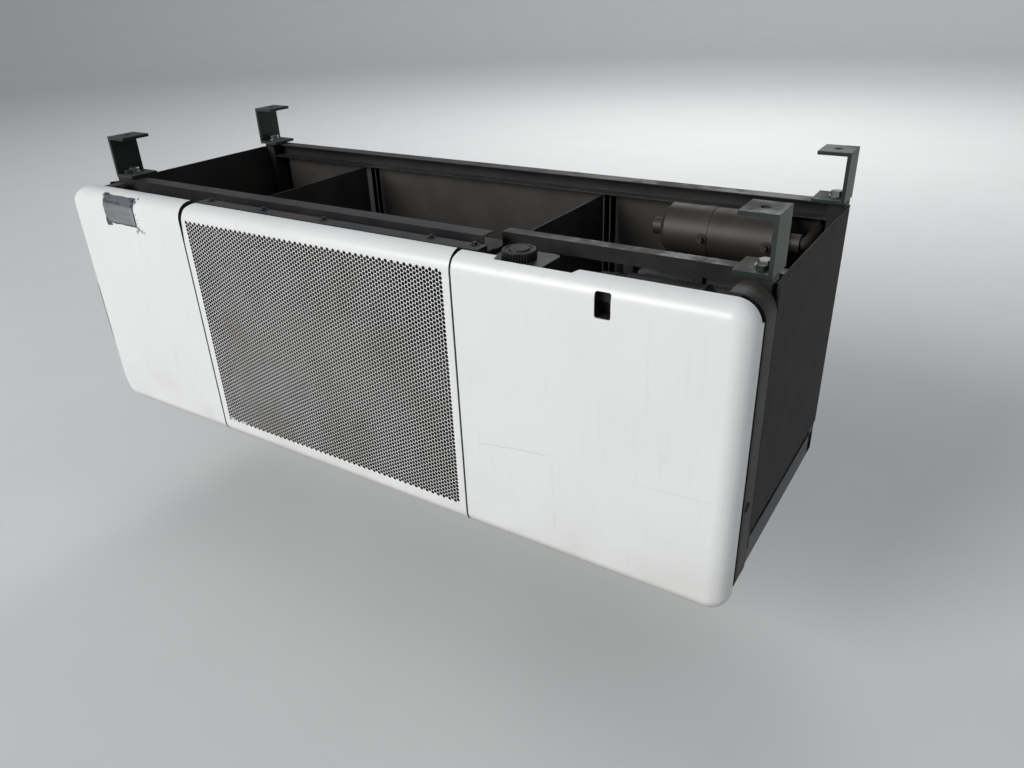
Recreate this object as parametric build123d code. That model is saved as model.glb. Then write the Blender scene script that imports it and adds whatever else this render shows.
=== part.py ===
from build123d import *
import os

os.makedirs("parts", exist_ok=True)

# An underfloor truck refrigeration unit. All sizes are millimetres.
# The origin is the centre of the four hanger holes, on the hangers' top faces.
# X runs along the truck, Y goes in under the floor, away from the front covers, and Z is up.
# Depths are counted from the covers' front face, and heights from the covers' top,
# so a height on the unit itself is negative.

SIDES = (("left", -1), ("right", 1))

# Front covers
HALF_WIDTH = 933.5
COVER_HEIGHT = 647.0
EDGE_R = 40.0
SHEET = 2.0
SEAM = 5.0
LEFT_SEAM_X = -486.0
RIGHT_SEAM_X = 336.0
BOTTOM_LIP = 40.0
LEFT_TOP_LIP = 46.0
CENTRE_TOP_LIP = 35.0
RIGHT_TOP_LIP = 32.0
FLANGE = 15.0
# Corner radii of a door's free end, first the bottom one
LEFT_CORNERS = (85.0, 46.0)
RIGHT_CORNERS = (45.0, 45.0)
# The centre cover's upper left corner is cut back, first down its front and then along its lip
RELIEF_HEIGHT = 95.0
RELIEF_FRONT = 9.0
RELIEF_LIP = 27.0
RELIEF_LIP_DEPTH = 12.0
# The right door's top lip narrows a little towards its seam
DOOR_RELIEF = 8.0
DOOR_RELIEF_DEPTH = 10.0
BODY_DEPTH = 60.0
PAST = 5.0

# Notch in the right door's top lip, in front of the filler cap
NOTCH_X0 = 427.0
NOTCH_X1 = 604.0
NOTCH_SLOPE = 10.0
NOTCH_DEPTH = 20.5

# Latches
LATCH_WIDTH = 32.0
LATCH_HEIGHT = 49.5
LATCH_R = 5.0
LATCH_Z = -47.5
LEFT_LATCH_X = -721.0
RIGHT_LATCH_X = 665.0
CUP_RIM = 5.0
CUP_DEPTH = 33.0
CUP_FLOOR = 3.0
PADDLE_HEIGHT = 22.0
PADDLE_DEPTH = 22.0
PADDLE_THICK = 4.0

# Hinges, with the places of their lugs along X
LEFT_HINGES = (-880.0, -560.0)
RIGHT_HINGES = (400.0, 860.0)
PIN_R = 5.0
PIN_PLAY = 0.4
LUG = 6.0
LUG_R = 14.0
BRACKET_R = 12.0
BRACKET_GAP = 5.0
ARM_HEIGHT = 14.0

# Hangers that hold the unit under the floor
HANGER_X = 880.0
FRONT_HANGER_DEPTH = 168.0
REAR_HANGER_DEPTH = 688.0
HANGER_RISE = 110.0
HANGER_PLATE = 8.0
HANGER_WIDTH = 70.0
HANGER_LENGTH = 80.0
HANGER_HOLE_R = 8.5
PAD_THICK = 8.0
FOOT_BOLT_X = 890.0
FOOT_BOLT_R = 11.0
FOOT_BOLT_HEAD = 9.0

# Frame
RAIL_WIDTH = 40.0
RAIL_HEIGHT = 60.0
RAIL_TOP = -584.5
RAIL_WALL = 3.0
FRONT_RAIL_DEPTH = 128.0
REAR_RAIL_DEPTH = 668.0
UPPER_RAIL = 40.0
UPPER_RAIL_TOP = -2.5
POST_X = 897.5
POST = 36.0
POST_DEPTH = 40.0
FRONT_POST_DEPTH = 150.0
REAR_POST_DEPTH = 688.0
BULKHEAD_SHEET = 2.5
LEFT_BULKHEAD_X = -479.0
RIGHT_BULKHEAD_X = 329.0
BULKHEAD_FRONT = 48.0
BULKHEAD_TOP = UPPER_RAIL_TOP - UPPER_RAIL

# End hoops stand behind the doors' ends, a little inside their outline
HOOP_SHEET = 2.5
HOOP_SIDE_X = 929.5
HOOP_TOP = -8.0
HOOP_R = 48.0
HOOP_FRONT = 66.0
LEFT_HOOP_BACK = 110.0
RIGHT_HOOP_BACK = 127.0
LEFT_HOOP_X = -852.0
RIGHT_HOOP_X = 864.0

# End walls step in behind the hoops
PANEL_SHEET = 2.5
PANEL_STEP = 11.5
PANEL_LEDGE = 12.0
PANEL_TOP = -12.0
PANEL_BOTTOM = -563.0
PANEL_BACK = 706.0

# Condenser air path
GRILLE_LEFT = -464.5
GRILLE_RIGHT = 317.0
GRILLE_TOP = -35.5
GRILLE_BOTTOM = -592.5
GRILLE_COLUMNS = 13
GRILLE_ROWS = 7
GRILLE_COLUMN = 58.5
GRILLE_PITCH = 69.0
GRILLE_HOLE_R = 27.0
COIL_LEFT = LEFT_BULKHEAD_X + BULKHEAD_SHEET / 2
COIL_RIGHT = RIGHT_BULKHEAD_X - BULKHEAD_SHEET / 2
COIL_TOP = -34.0
COIL_BOTTOM = -625.0
COIL_FRONT = 45.0
COIL_BACK = 84.0
END_PLATE = 2.0
CORE_TOP = -50.0
CORE_BOTTOM = -580.0
CORE_FRONT = 132.0
CORE_BACK = 172.0
CORE_TANK = 28.0
SHROUD_FRONT = 174.0
SHROUD_BACK = 250.0

# Fans and their motors
FAN_X = (-272.0, 124.0)
FAN_Z = -312.0
FAN_DEPTH = 264.0
FAN_TIP_R = 178.0
FAN_HUB_R = 62.0
FAN_HUB_LENGTH = 44.0
BLADES = 7
BLADE_THICK = 3.0
# A blade's half width at its root and past its tip
BLADE_ROOT = 28.0
BLADE_END = 52.0
# Place along the axis and place round it of each fold across a blade
BLADE_FOLDS = ((-18.0, -52.0), (-9.0, -17.0), (3.0, 17.0), (16.0, 52.0))
RING_R = 188.0
RING_SHEET = 3.0
ARM_DEPTH = 293.0
ARM = 14.0
ARM_THICK = 6.0
ARM_REACH = 196.0
SHAFT_R = 9.0

# Where the covers stand in the origin's frame
FRONT = -(FRONT_HANGER_DEPTH + REAR_HANGER_DEPTH) / 2
TOP = -HANGER_RISE


def block(x0, x1, d0, d1, z0, z1):
    """A box between two places along X, two depths and two heights."""
    centre = Pos((x0 + x1) / 2, FRONT + (d0 + d1) / 2, TOP + (z0 + z1) / 2)
    return centre * Box(x1 - x0, d1 - d0, z1 - z0)


def along_x(profile, depth, z, x0, x1):
    """A profile, drawn with depth across and height up, drawn out along X."""
    face = Plane.YZ * (Pos(FRONT + depth, TOP + z) * profile)
    return Pos(x0, 0, 0) * extrude(face, amount=x1 - x0)


def along_y(profile, x, z, d0, d1):
    """A profile, drawn as seen from the front, drawn back between two depths."""
    face = Plane.XZ * (Pos(x, TOP + z) * profile)
    return Pos(0, FRONT + d0, 0) * extrude(face, amount=d0 - d1)


def along_z(profile, x, depth, z0, z1):
    """A profile, drawn as seen from above, drawn up between two heights."""
    face = Pos(x, FRONT + depth) * profile
    return Pos(0, 0, TOP + z0) * extrude(face, amount=z1 - z0)


def turned(outline, x, depth, z, axis):
    """A turned piece from half its section, as (distance along the axis, radius) points."""
    solid = revolve(make_face(Polyline(*outline, close=True)), Axis.X)
    turn = {"x": Rot(0, 0, 0), "y": Rot(0, 0, 90), "z": Rot(0, -90, 0)}[axis]
    return Pos(x, FRONT + depth, TOP + z) * turn * solid


def drum(r, x, depth, z, length, axis):
    """A plain cylinder that starts at a place and runs along one axis."""
    return turned([(0, 0), (0, r), (length, r), (length, 0)], x, depth, z, axis)


def channel_profile(width, height, wall, opening):
    """A C section, open to +1 or -1 across."""
    return Rectangle(width, height) - Pos(opening * wall, 0) * Rectangle(width, height - 2 * wall)


def tube_profile(width, height, wall):
    """A rectangular tube."""
    return Rectangle(width, height) - Rectangle(width - 2 * wall, height - 2 * wall)


def save(name, *solids):
    """Writes one node from its solids."""
    if len(solids) == 1:
        shape = solids[0]
    else:
        shape = Compound(children=[s for part in solids for s in part.solids()])
    export_step(shape, f"parts/{name}.step")


# Front covers
def cover_body(x0, x1, inset):
    """The covers' side section, rounded along both front edges, drawn out along X."""
    depth = BODY_DEPTH - inset
    face = Rectangle(depth, COVER_HEIGHT - 2 * inset)
    face = fillet(face.vertices().group_by(Axis.X)[0], EDGE_R - inset)
    return along_x(face, inset + depth / 2, -COVER_HEIGHT / 2, x0, x1)


def front_slab(x0, x1, side, corners, inset):
    """The front view of a door, with both corners of its free end rounded, drawn back."""
    if side == "left":
        x0 = x0 + inset
    else:
        x1 = x1 - inset
    face = Rectangle(x1 - x0, COVER_HEIGHT - 2 * inset)
    for place, corner in enumerate(corners):
        free_end = face.vertices().group_by(Axis.X)[0 if side == "left" else -1]
        face = fillet(free_end.sort_by(Axis.Y)[-place], corner - inset)
    return along_y(face, (x0 + x1) / 2, -COVER_HEIGHT / 2, inset, BODY_DEPTH)


def lip_zone(x0, x1, top_lip):
    """The space in which a cover keeps its skin, so that each lip ends at its own depth."""
    low = block(x0 - PAST, x1 + PAST, -PAST, BOTTOM_LIP, -COVER_HEIGHT - PAST, -EDGE_R)
    high = block(x0 - PAST, x1 + PAST, -PAST, top_lip, -EDGE_R, PAST)
    return low + high


def seam_flange(x0, x1):
    """The narrow edge that a cover turns in at a seam."""
    return cover_body(x0, x1, SHEET / 4) - cover_body(x0 - 1, x1 + 1, FLANGE)


def centre_skin(x0, x1):
    """The centre cover: rounded lips above and below, with both ends at seams."""
    skin = cover_body(x0, x1, 0) - cover_body(x0 - 1, x1 + 1, SHEET)
    return skin + seam_flange(x0, x0 + SHEET) + seam_flange(x1 - SHEET, x1)


def left_door_skin(x0, x1):
    """The left door: rounded lips, and a flat end with large corners in the front view."""
    outer = cover_body(x0, x1, 0) & front_slab(x0, x1, "left", LEFT_CORNERS, 0)
    inner = cover_body(x0, x1 + 1, SHEET) & front_slab(x0, x1 + 1, "left", LEFT_CORNERS, SHEET)
    return outer - inner + seam_flange(x1 - SHEET, x1)


def dished(x0, x1, inset):
    """The right door's form: its top, end and bottom edges are all rounded over."""
    slab = front_slab(x0, x1, "right", RIGHT_CORNERS, inset)
    front = slab.faces().sort_by(Axis.Y)[0]
    rim = [e for e in front.edges() if e.center().X > x0 + 1]
    return fillet(rim, EDGE_R - inset)


def right_door_skin(x0, x1):
    """The right door: the dished form, hollow and open behind."""
    return dished(x0, x1, 0) - dished(x0 - 1, x1, SHEET) + seam_flange(x0, x0 + SHEET)


def latch_window(x):
    """The rounded hole through a door in front of its latch."""
    return along_y(RectangleRounded(LATCH_WIDTH, LATCH_HEIGHT, LATCH_R), x, LATCH_Z, -PAST, BODY_DEPTH)


def latch_cup(x):
    """The latch's cup behind a door's window, with its paddle across the upper half."""
    window = RectangleRounded(LATCH_WIDTH, LATCH_HEIGHT, LATCH_R)
    plate = RectangleRounded(LATCH_WIDTH + 2 * CUP_RIM, LATCH_HEIGHT + 2 * CUP_RIM, LATCH_R + CUP_RIM)
    rim = along_y(plate - window, x, LATCH_Z, 0, CUP_DEPTH)
    floor = along_y(plate, x, LATCH_Z, CUP_DEPTH, CUP_DEPTH + CUP_FLOOR)
    paddle_z = LATCH_Z + (LATCH_HEIGHT - PADDLE_HEIGHT) / 2 - PADDLE_THICK
    paddle_back = PADDLE_DEPTH + PADDLE_THICK
    paddle = along_y(Rectangle(LATCH_WIDTH, PADDLE_HEIGHT), x, paddle_z, PADDLE_DEPTH, paddle_back)
    behind_skin = cover_body(x - LATCH_HEIGHT, x + LATCH_HEIGHT, SHEET + 0.5)
    return (rim + floor + paddle) & behind_skin


# Both doors turn on pins at the centre of their bottom lip's curve
HINGE_Z = -COVER_HEIGHT + EDGE_R


def hinge_lug(x):
    """A door's hinge lug: a quarter disc in the bottom lip with an eye round the pin."""
    start = x - LUG / 2
    quarter = drum(EDGE_R - SHEET, start, EDGE_R, HINGE_Z, LUG, "x")
    quarter = quarter & block(x - LUG, x + LUG, 0, EDGE_R, -COVER_HEIGHT, HINGE_Z)
    eye = drum(LUG_R, start, EDGE_R, HINGE_Z, LUG, "x")
    bore = drum(PIN_R + PIN_PLAY, start - 1, EDGE_R, HINGE_Z, LUG + 2, "x")
    return quarter + eye - bore


def hinge_bracket(x):
    """A fixed plate beside the lug, reaching forward from the front rail, with the hinge pin."""
    plate_x0 = x + BRACKET_GAP
    plate_x1 = plate_x0 + LUG
    pin_x0 = x - LUG
    arm_top = HINGE_Z + BRACKET_R + ARM_HEIGHT - LUG / 2
    eye = drum(BRACKET_R, plate_x0, EDGE_R, HINGE_Z, LUG, "x")
    neck = block(plate_x0, plate_x1, EDGE_R - BRACKET_R / 2, EDGE_R + BRACKET_R, HINGE_Z, arm_top)
    arm = block(plate_x0, plate_x1, EDGE_R, FRONT_RAIL_DEPTH, arm_top - ARM_HEIGHT, arm_top)
    pin = drum(PIN_R, pin_x0, EDGE_R, HINGE_Z, plate_x1 - pin_x0, "x")
    return eye + neck + arm + pin


left_x0 = -HALF_WIDTH
left_x1 = LEFT_SEAM_X - SEAM / 2
centre_x0 = LEFT_SEAM_X + SEAM / 2
centre_x1 = RIGHT_SEAM_X - SEAM / 2
right_x0 = RIGHT_SEAM_X + SEAM / 2
right_x1 = HALF_WIDTH

left_door = left_door_skin(left_x0, left_x1) & lip_zone(left_x0, left_x1, LEFT_TOP_LIP)
left_door = left_door - latch_window(LEFT_LATCH_X)
for x in LEFT_HINGES:
    left_door = left_door + hinge_lug(x)
save("left_door", left_door)

notch = Polygon(
    (NOTCH_X0, NOTCH_DEPTH),
    (NOTCH_X1 - NOTCH_SLOPE, NOTCH_DEPTH),
    (NOTCH_X1, RIGHT_TOP_LIP),
    (NOTCH_X1, BODY_DEPTH),
    (NOTCH_X0, BODY_DEPTH),
    align=None,
)
right_door = right_door_skin(right_x0, right_x1) & lip_zone(right_x0, right_x1, RIGHT_TOP_LIP)
right_door = right_door - latch_window(RIGHT_LATCH_X) - along_z(notch, 0, 0, -EDGE_R / 2, PAST)
door_relief = Polygon(
    (right_x0 - PAST, DOOR_RELIEF_DEPTH),
    (right_x0, DOOR_RELIEF_DEPTH),
    (right_x0 + DOOR_RELIEF, RIGHT_TOP_LIP),
    (right_x0 + DOOR_RELIEF, BODY_DEPTH),
    (right_x0 - PAST, BODY_DEPTH),
    align=None,
)
right_door = right_door - along_z(door_relief, 0, 0, -EDGE_R, PAST)
for x in RIGHT_HINGES:
    right_door = right_door + hinge_lug(x)
save("right_door", right_door)

save("left_hinge_brackets", *[hinge_bracket(x) for x in LEFT_HINGES])
save("right_hinge_brackets", *[hinge_bracket(x) for x in RIGHT_HINGES])
save("left_latch", latch_cup(LEFT_LATCH_X))
save("right_latch", latch_cup(RIGHT_LATCH_X))

# A patch of tape covers the left latch's window and lies on the skin
PATCH_X0 = -800.0
PATCH_X1 = -672.0
PATCH_BOTTOM = -80.0
PATCH_BACK = 18.0
PATCH_THICK = 1.5
patch = cover_body(PATCH_X0, PATCH_X1, -PATCH_THICK) - cover_body(PATCH_X0 - 1, PATCH_X1 + 1, 0)
save("latch_patch", patch & block(PATCH_X0, PATCH_X1, -PAST, PATCH_BACK, PATCH_BOTTOM, PAST))

# A narrow strip stands off beside the lower half of the left door on two tabs
STRIP_X0 = -951.5
STRIP_X1 = -942.5
STRIP_TOP = -285.0
STRIP_BOTTOM = -560.0
STRIP_DEPTH = 6.0
STRIP_THICK = 3.0
TAB_HEIGHT = 16.0
TAB_INSET = 15.0
strip_back = STRIP_DEPTH + STRIP_THICK
strip = block(STRIP_X0, STRIP_X1, STRIP_DEPTH, strip_back, STRIP_BOTTOM, STRIP_TOP)
tab_x0 = STRIP_X1 - STRIP_THICK
tab_back = strip_back + STRIP_THICK
for z in (STRIP_TOP - TAB_INSET, STRIP_BOTTOM + TAB_INSET):
    strip = strip + block(tab_x0, -HALF_WIDTH, strip_back, tab_back, z - TAB_HEIGHT / 2, z + TAB_HEIGHT / 2)
save("left_edge_strip", strip)

centre_cover = centre_skin(centre_x0, centre_x1) & lip_zone(centre_x0, centre_x1, CENTRE_TOP_LIP)
relief_x = centre_x0 + RELIEF_FRONT
front_relief = Polygon(
    (centre_x0 - PAST, -RELIEF_HEIGHT),
    (centre_x0, -RELIEF_HEIGHT),
    (relief_x, -RELIEF_LIP_DEPTH),
    (relief_x, PAST),
    (centre_x0 - PAST, PAST),
    align=None,
)
lip_relief = Polygon(
    (centre_x0 - PAST, RELIEF_LIP_DEPTH),
    (relief_x, RELIEF_LIP_DEPTH),
    (centre_x0 + RELIEF_LIP, CENTRE_TOP_LIP),
    (centre_x0 + RELIEF_LIP, BODY_DEPTH),
    (centre_x0 - PAST, BODY_DEPTH),
    align=None,
)
centre_cover = centre_cover - along_y(front_relief, 0, 0, -PAST, BODY_DEPTH)
centre_cover = centre_cover - along_z(lip_relief, 0, 0, -EDGE_R, PAST)
window = block(GRILLE_LEFT, GRILLE_RIGHT, -PAST, PAST, GRILLE_BOTTOM, GRILLE_TOP)
save("centre_cover", centre_cover - window)

# Perforated front of the condenser: a coarse hexagonal pattern with the fine one's open share
grille_holes = []
for i in range(GRILLE_COLUMNS):
    odd = i % 2
    for j in range(GRILLE_ROWS + 1 - odd):
        hole_x = (i - (GRILLE_COLUMNS - 1) / 2) * GRILLE_COLUMN
        hole_z = (j - (GRILLE_ROWS - odd) / 2) * GRILLE_PITCH
        grille_holes.append(Pos(hole_x, hole_z) * RegularPolygon(GRILLE_HOLE_R, 6))
grille = Rectangle(GRILLE_RIGHT - GRILLE_LEFT, GRILLE_TOP - GRILLE_BOTTOM) - grille_holes
grille_x = (GRILLE_LEFT + GRILLE_RIGHT) / 2
grille_z = (GRILLE_TOP + GRILLE_BOTTOM) / 2
save("condenser_grille", along_y(grille, grille_x, grille_z, 0, SHEET))

# Frame of folded rails, square posts and cross members
post_inner = POST_X - POST / 2
post_outer = POST_X + POST / 2
rail_z = RAIL_TOP - RAIL_HEIGHT / 2
upper_z = UPPER_RAIL_TOP - UPPER_RAIL / 2
upper_end = RIGHT_BULKHEAD_X + BULKHEAD_SHEET / 2
# Name, opening side, depth of the front face, height, section height, first and last place along X
RAILS = (
    ("front_lower_rail", 1, FRONT_RAIL_DEPTH, rail_z, RAIL_HEIGHT, -post_outer, post_outer),
    ("rear_lower_rail", -1, REAR_RAIL_DEPTH, rail_z, RAIL_HEIGHT, -post_outer, post_outer),
    ("front_upper_rail", 1, FRONT_RAIL_DEPTH, upper_z, UPPER_RAIL, -post_inner, upper_end),
    ("rear_upper_rail", -1, REAR_RAIL_DEPTH, upper_z, UPPER_RAIL, -post_inner, upper_end),
    ("engine_bay_rail", -1, REAR_RAIL_DEPTH, upper_z, UPPER_RAIL, upper_end, post_inner),
)
for name, opening, depth, z, height, x0, x1 in RAILS:
    profile = channel_profile(RAIL_WIDTH, height, RAIL_WALL, opening)
    save(name, along_x(profile, depth + RAIL_WIDTH / 2, z, x0, x1))

members = []
for x in (-POST_X, LEFT_BULKHEAD_X, RIGHT_BULKHEAD_X, POST_X):
    profile = tube_profile(POST, RAIL_HEIGHT, RAIL_WALL)
    members.append(along_y(profile, x, rail_z, FRONT_RAIL_DEPTH + RAIL_WIDTH, REAR_RAIL_DEPTH))
save("cross_members", *members)

for side, sign in SIDES:
    posts = []
    for depth in (FRONT_POST_DEPTH, REAR_POST_DEPTH):
        profile = tube_profile(POST, POST_DEPTH, RAIL_WALL)
        posts.append(along_z(profile, sign * POST_X, depth, RAIL_TOP, -PAD_THICK))
    save(f"{side}_posts", *posts)

for side, x in (("left", LEFT_BULKHEAD_X), ("right", RIGHT_BULKHEAD_X)):
    x0 = x - BULKHEAD_SHEET / 2
    x1 = x + BULKHEAD_SHEET / 2
    save(f"{side}_bulkhead", block(x0, x1, BULKHEAD_FRONT, REAR_RAIL_DEPTH, RAIL_TOP, BULKHEAD_TOP))

# Straps tie the centre cover's turned-in ends to the bulkheads
STRAP_FRONT = 3.0
STRAP_BACK = 90.0
STRAP_HEIGHT = 40.0
STRAP_Z = (-240.0, -400.0, -560.0)
straps = []
for x0, x1 in (
    (centre_x0 + SHEET, LEFT_BULKHEAD_X - BULKHEAD_SHEET / 2),
    (RIGHT_BULKHEAD_X + BULKHEAD_SHEET / 2, centre_x1 - SHEET),
):
    for z in STRAP_Z:
        straps.append(block(x0, x1, STRAP_FRONT, STRAP_BACK, z - STRAP_HEIGHT / 2, z + STRAP_HEIGHT / 2))
save("cover_straps", *straps)

# The tie stands on the right bulkhead and meets the right end wall
TIE = 30.0
TIE_DEPTH = 215.0
tie_z = BULKHEAD_TOP + TIE / 2
tie_x0 = RIGHT_BULKHEAD_X - BULKHEAD_SHEET / 2
tie_x1 = HOOP_SIDE_X - PANEL_STEP - PANEL_SHEET
save("engine_bay_tie", along_x(tube_profile(TIE, TIE, RAIL_WALL), TIE_DEPTH, tie_z, tie_x0, tie_x1))

# End hoops carry the doors' closing edges
hoop_height = COVER_HEIGHT + HOOP_TOP
hoop_outline = RectangleRounded(2 * HOOP_SIDE_X, hoop_height, HOOP_R)
hoop_outline = hoop_outline - offset(hoop_outline, -HOOP_SHEET)
# Side, first and last place along X, depth of the back edge
HOOPS = (
    ("left", -HALF_WIDTH, LEFT_HOOP_X, LEFT_HOOP_BACK),
    ("right", RIGHT_HOOP_X, HALF_WIDTH, RIGHT_HOOP_BACK),
)
for side, x0, x1, back in HOOPS:
    ring = along_y(hoop_outline, 0, HOOP_TOP - hoop_height / 2, HOOP_FRONT, back)
    save(f"{side}_end_hoop", ring & block(x0, x1, 0, REAR_RAIL_DEPTH, -COVER_HEIGHT, 0))


def end_wall(sign, start):
    """An end wall's sheet as seen from above: a short flange, a slanted step and the long wall."""
    out = HOOP_SIDE_X
    step = out - PANEL_STEP
    ledge = start + PANEL_LEDGE
    face = Polyline(
        (out - PANEL_SHEET, start),
        (out, start),
        (out, ledge),
        (step, ledge + PANEL_STEP),
        (step, PANEL_BACK),
        (step - PANEL_SHEET, PANEL_BACK),
        (step - PANEL_SHEET, ledge + PANEL_STEP - PANEL_SHEET / 2),
        (out - PANEL_SHEET, ledge - PANEL_SHEET / 2),
        close=True,
    )
    face = make_face(face)
    if sign < 0:
        face = mirror(face, about=Plane.YZ)
    return along_z(face, 0, 0, PANEL_BOTTOM, PANEL_TOP)


save("left_end_panel", end_wall(-1, LEFT_HOOP_BACK))
save("right_end_panel", end_wall(1, RIGHT_HOOP_BACK))

# The coil's top rail shows behind the centre cover and runs on to the filler cap
TOP_RAIL_X0 = -470.0
TOP_RAIL_X1 = 373.0
TOP_RAIL_BACK = 79.0
TOP_RAIL_TOP = -2.0
top_plate = block(TOP_RAIL_X0, TOP_RAIL_X1, COIL_FRONT, TOP_RAIL_BACK, TOP_RAIL_TOP - RAIL_WALL, TOP_RAIL_TOP)
back_plate = block(TOP_RAIL_X0, TOP_RAIL_X1, TOP_RAIL_BACK - RAIL_WALL, TOP_RAIL_BACK, COIL_TOP, TOP_RAIL_TOP)
save("coil_top_rail", top_plate + back_plate)

# Hangers: a foot on its rubber pad and post, an upright plate and a drilled top flange
pads = []
for side, sign in SIDES:
    for end, depth, post_depth in (
        ("front", FRONT_HANGER_DEPTH, FRONT_POST_DEPTH),
        ("rear", REAR_HANGER_DEPTH, REAR_POST_DEPTH),
    ):
        profile = channel_profile(HANGER_WIDTH, HANGER_RISE, HANGER_PLATE, -sign)
        d0 = depth - HANGER_LENGTH / 2
        d1 = depth + HANGER_LENGTH / 2
        hanger = along_y(profile, sign * HANGER_X, HANGER_RISE / 2, d0, d1)
        hole = drum(HANGER_HOLE_R, sign * HANGER_X, depth, HANGER_RISE - 2 * HANGER_PLATE, HANGER_RISE, "z")
        bolt_top = HANGER_PLATE + FOOT_BOLT_HEAD
        bolt = along_z(RegularPolygon(FOOT_BOLT_R, 6), sign * FOOT_BOLT_X, post_depth, HANGER_PLATE, bolt_top)
        save(f"{side}_{end}_hanger", hanger - hole + bolt)
        pads.append(along_z(Rectangle(POST, POST_DEPTH), sign * POST_X, post_depth, -PAD_THICK, 0))
save("hanger_pads", *pads)

# Condenser coil with its end plates, and the radiator with its side tanks
coil = block(COIL_LEFT, COIL_RIGHT, COIL_FRONT, COIL_BACK, COIL_BOTTOM, COIL_TOP)
for x in (COIL_LEFT, COIL_RIGHT - END_PLATE):
    plate = block(x, x + END_PLATE, COIL_FRONT, COIL_BACK + 4 * END_PLATE, COIL_BOTTOM, COIL_TOP)
    coil = coil + plate
save("condenser_coil", coil)

core = block(COIL_LEFT, COIL_RIGHT, CORE_FRONT, CORE_BACK, CORE_BOTTOM, CORE_TOP)
tank_profile = RectangleRounded(CORE_TANK, CORE_BACK - CORE_FRONT + CUP_RIM, CUP_RIM)
tank_depth = (CORE_FRONT + CORE_BACK - CUP_RIM) / 2
for x in (COIL_LEFT + CORE_TANK / 2, COIL_RIGHT - CORE_TANK / 2):
    core = core + along_z(tank_profile, x, tank_depth, CORE_BOTTOM, CORE_TOP)
save("radiator_core", core)

# Fan shroud: a shallow tray behind the radiator with two round openings, each with its own ring
shroud = block(COIL_LEFT, COIL_RIGHT, SHROUD_FRONT, SHROUD_BACK, CORE_BOTTOM, CORE_TOP)
hollow_x0 = COIL_LEFT + SHEET
hollow_x1 = COIL_RIGHT - SHEET
hollow_back = SHROUD_BACK - SHEET
shroud = shroud - block(hollow_x0, hollow_x1, CORE_FRONT, hollow_back, CORE_BOTTOM + SHEET, CORE_TOP - SHEET)
for x in FAN_X:
    shroud = shroud - drum(RING_R, x, CORE_FRONT, FAN_Z, SHROUD_BACK, "y")
save("fan_shroud", shroud)

ring_length = ARM_DEPTH - SHROUD_BACK
ring_outer = RING_R + RING_SHEET
RING_OUTLINE = ((0, RING_R), (0, ring_outer), (ring_length, ring_outer), (ring_length, RING_R))
MOTOR_OUTLINE = ((0, 0), (0, 55), (72, 55), (84, 43), (84, 0))


def fan_blade(angle):
    """One folded blade, steeper towards its trailing edge and narrower towards the hub."""
    back = [(axial + BLADE_THICK, around) for axial, around in reversed(BLADE_FOLDS)]
    section = make_face(Polyline(*BLADE_FOLDS, *back, close=True))
    root = FAN_HUB_R - 4 * BLADE_THICK
    end = root + FAN_TIP_R
    place = Plane(origin=(root, 0, 0), x_dir=(0, 0, 1), z_dir=(1, 0, 0))
    plate = extrude(place * section, amount=FAN_TIP_R)
    corners = ((root, -BLADE_ROOT), (end, -BLADE_END), (end, BLADE_END), (root, BLADE_ROOT))
    trim = extrude(Pos(0, 0, -FAN_HUB_LENGTH / 2) * Polygon(*corners, align=None), amount=FAN_HUB_LENGTH)
    return Rot(0, 0, angle) * (plate & trim)


def fan_rotor(x):
    """A hub with its blades, trimmed round at their tips and bored for the motor's shaft."""
    rotor = Cylinder(FAN_HUB_R, FAN_HUB_LENGTH)
    for k in range(BLADES):
        rotor = rotor + fan_blade(k * 360 / BLADES)
    rotor = rotor & Cylinder(FAN_TIP_R, FAN_TIP_R)
    rotor = Pos(x, FRONT + FAN_DEPTH, TOP + FAN_Z) * Rot(90, 0, 0) * rotor
    return rotor - drum(SHAFT_R + PIN_PLAY, x, FAN_DEPTH - PIN_PLAY, FAN_Z, FAN_HUB_LENGTH, "y")


for side, x in zip(("left", "right"), FAN_X):
    save(f"{side}_fan_ring", turned(RING_OUTLINE, x, SHROUD_BACK, FAN_Z, "y"))
    save(f"{side}_fan", fan_rotor(x))
    motor = turned(MOTOR_OUTLINE, x, ARM_DEPTH, FAN_Z, "y")
    motor = motor + drum(SHAFT_R, x, FAN_DEPTH, FAN_Z, ARM_DEPTH - FAN_DEPTH, "y")
    for arm in (Rectangle(2 * ARM_REACH, ARM), Rectangle(ARM, 2 * ARM_REACH)):
        motor = motor + along_y(arm, x, FAN_Z, ARM_DEPTH, ARM_DEPTH + ARM_THICK)
    save(f"{side}_fan_motor", motor)

# Floors of the two bays lie on the rails, the right one with drain slots under the engine
PAN_SHEET = 2.5
PAN_X = 876.0
DRAIN_SLOTS = (455.0, 545.0, 635.0, 725.0)
DRAIN_WIDTH = 50.0
DRAIN_LENGTH = 170.0
DRAIN_R = 12.0
DRAIN_DEPTH = 415.0
pan_front = FRONT_RAIL_DEPTH + SHEET
pan_top = RAIL_TOP + PAN_SHEET
left_bay_x1 = LEFT_BULKHEAD_X - BULKHEAD_SHEET
right_bay_x0 = RIGHT_BULKHEAD_X + BULKHEAD_SHEET
save("left_floor_pan", block(-PAN_X, left_bay_x1, pan_front, PANEL_BACK, RAIL_TOP, pan_top))
right_pan = block(right_bay_x0, PAN_X, pan_front, PANEL_BACK, RAIL_TOP, pan_top)
for x in DRAIN_SLOTS:
    slot = RectangleRounded(DRAIN_WIDTH, DRAIN_LENGTH, DRAIN_R)
    right_pan = right_pan - along_z(slot, x, DRAIN_DEPTH, RAIL_TOP - PAST, pan_top + PAST)
save("right_floor_pan", right_pan)

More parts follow.
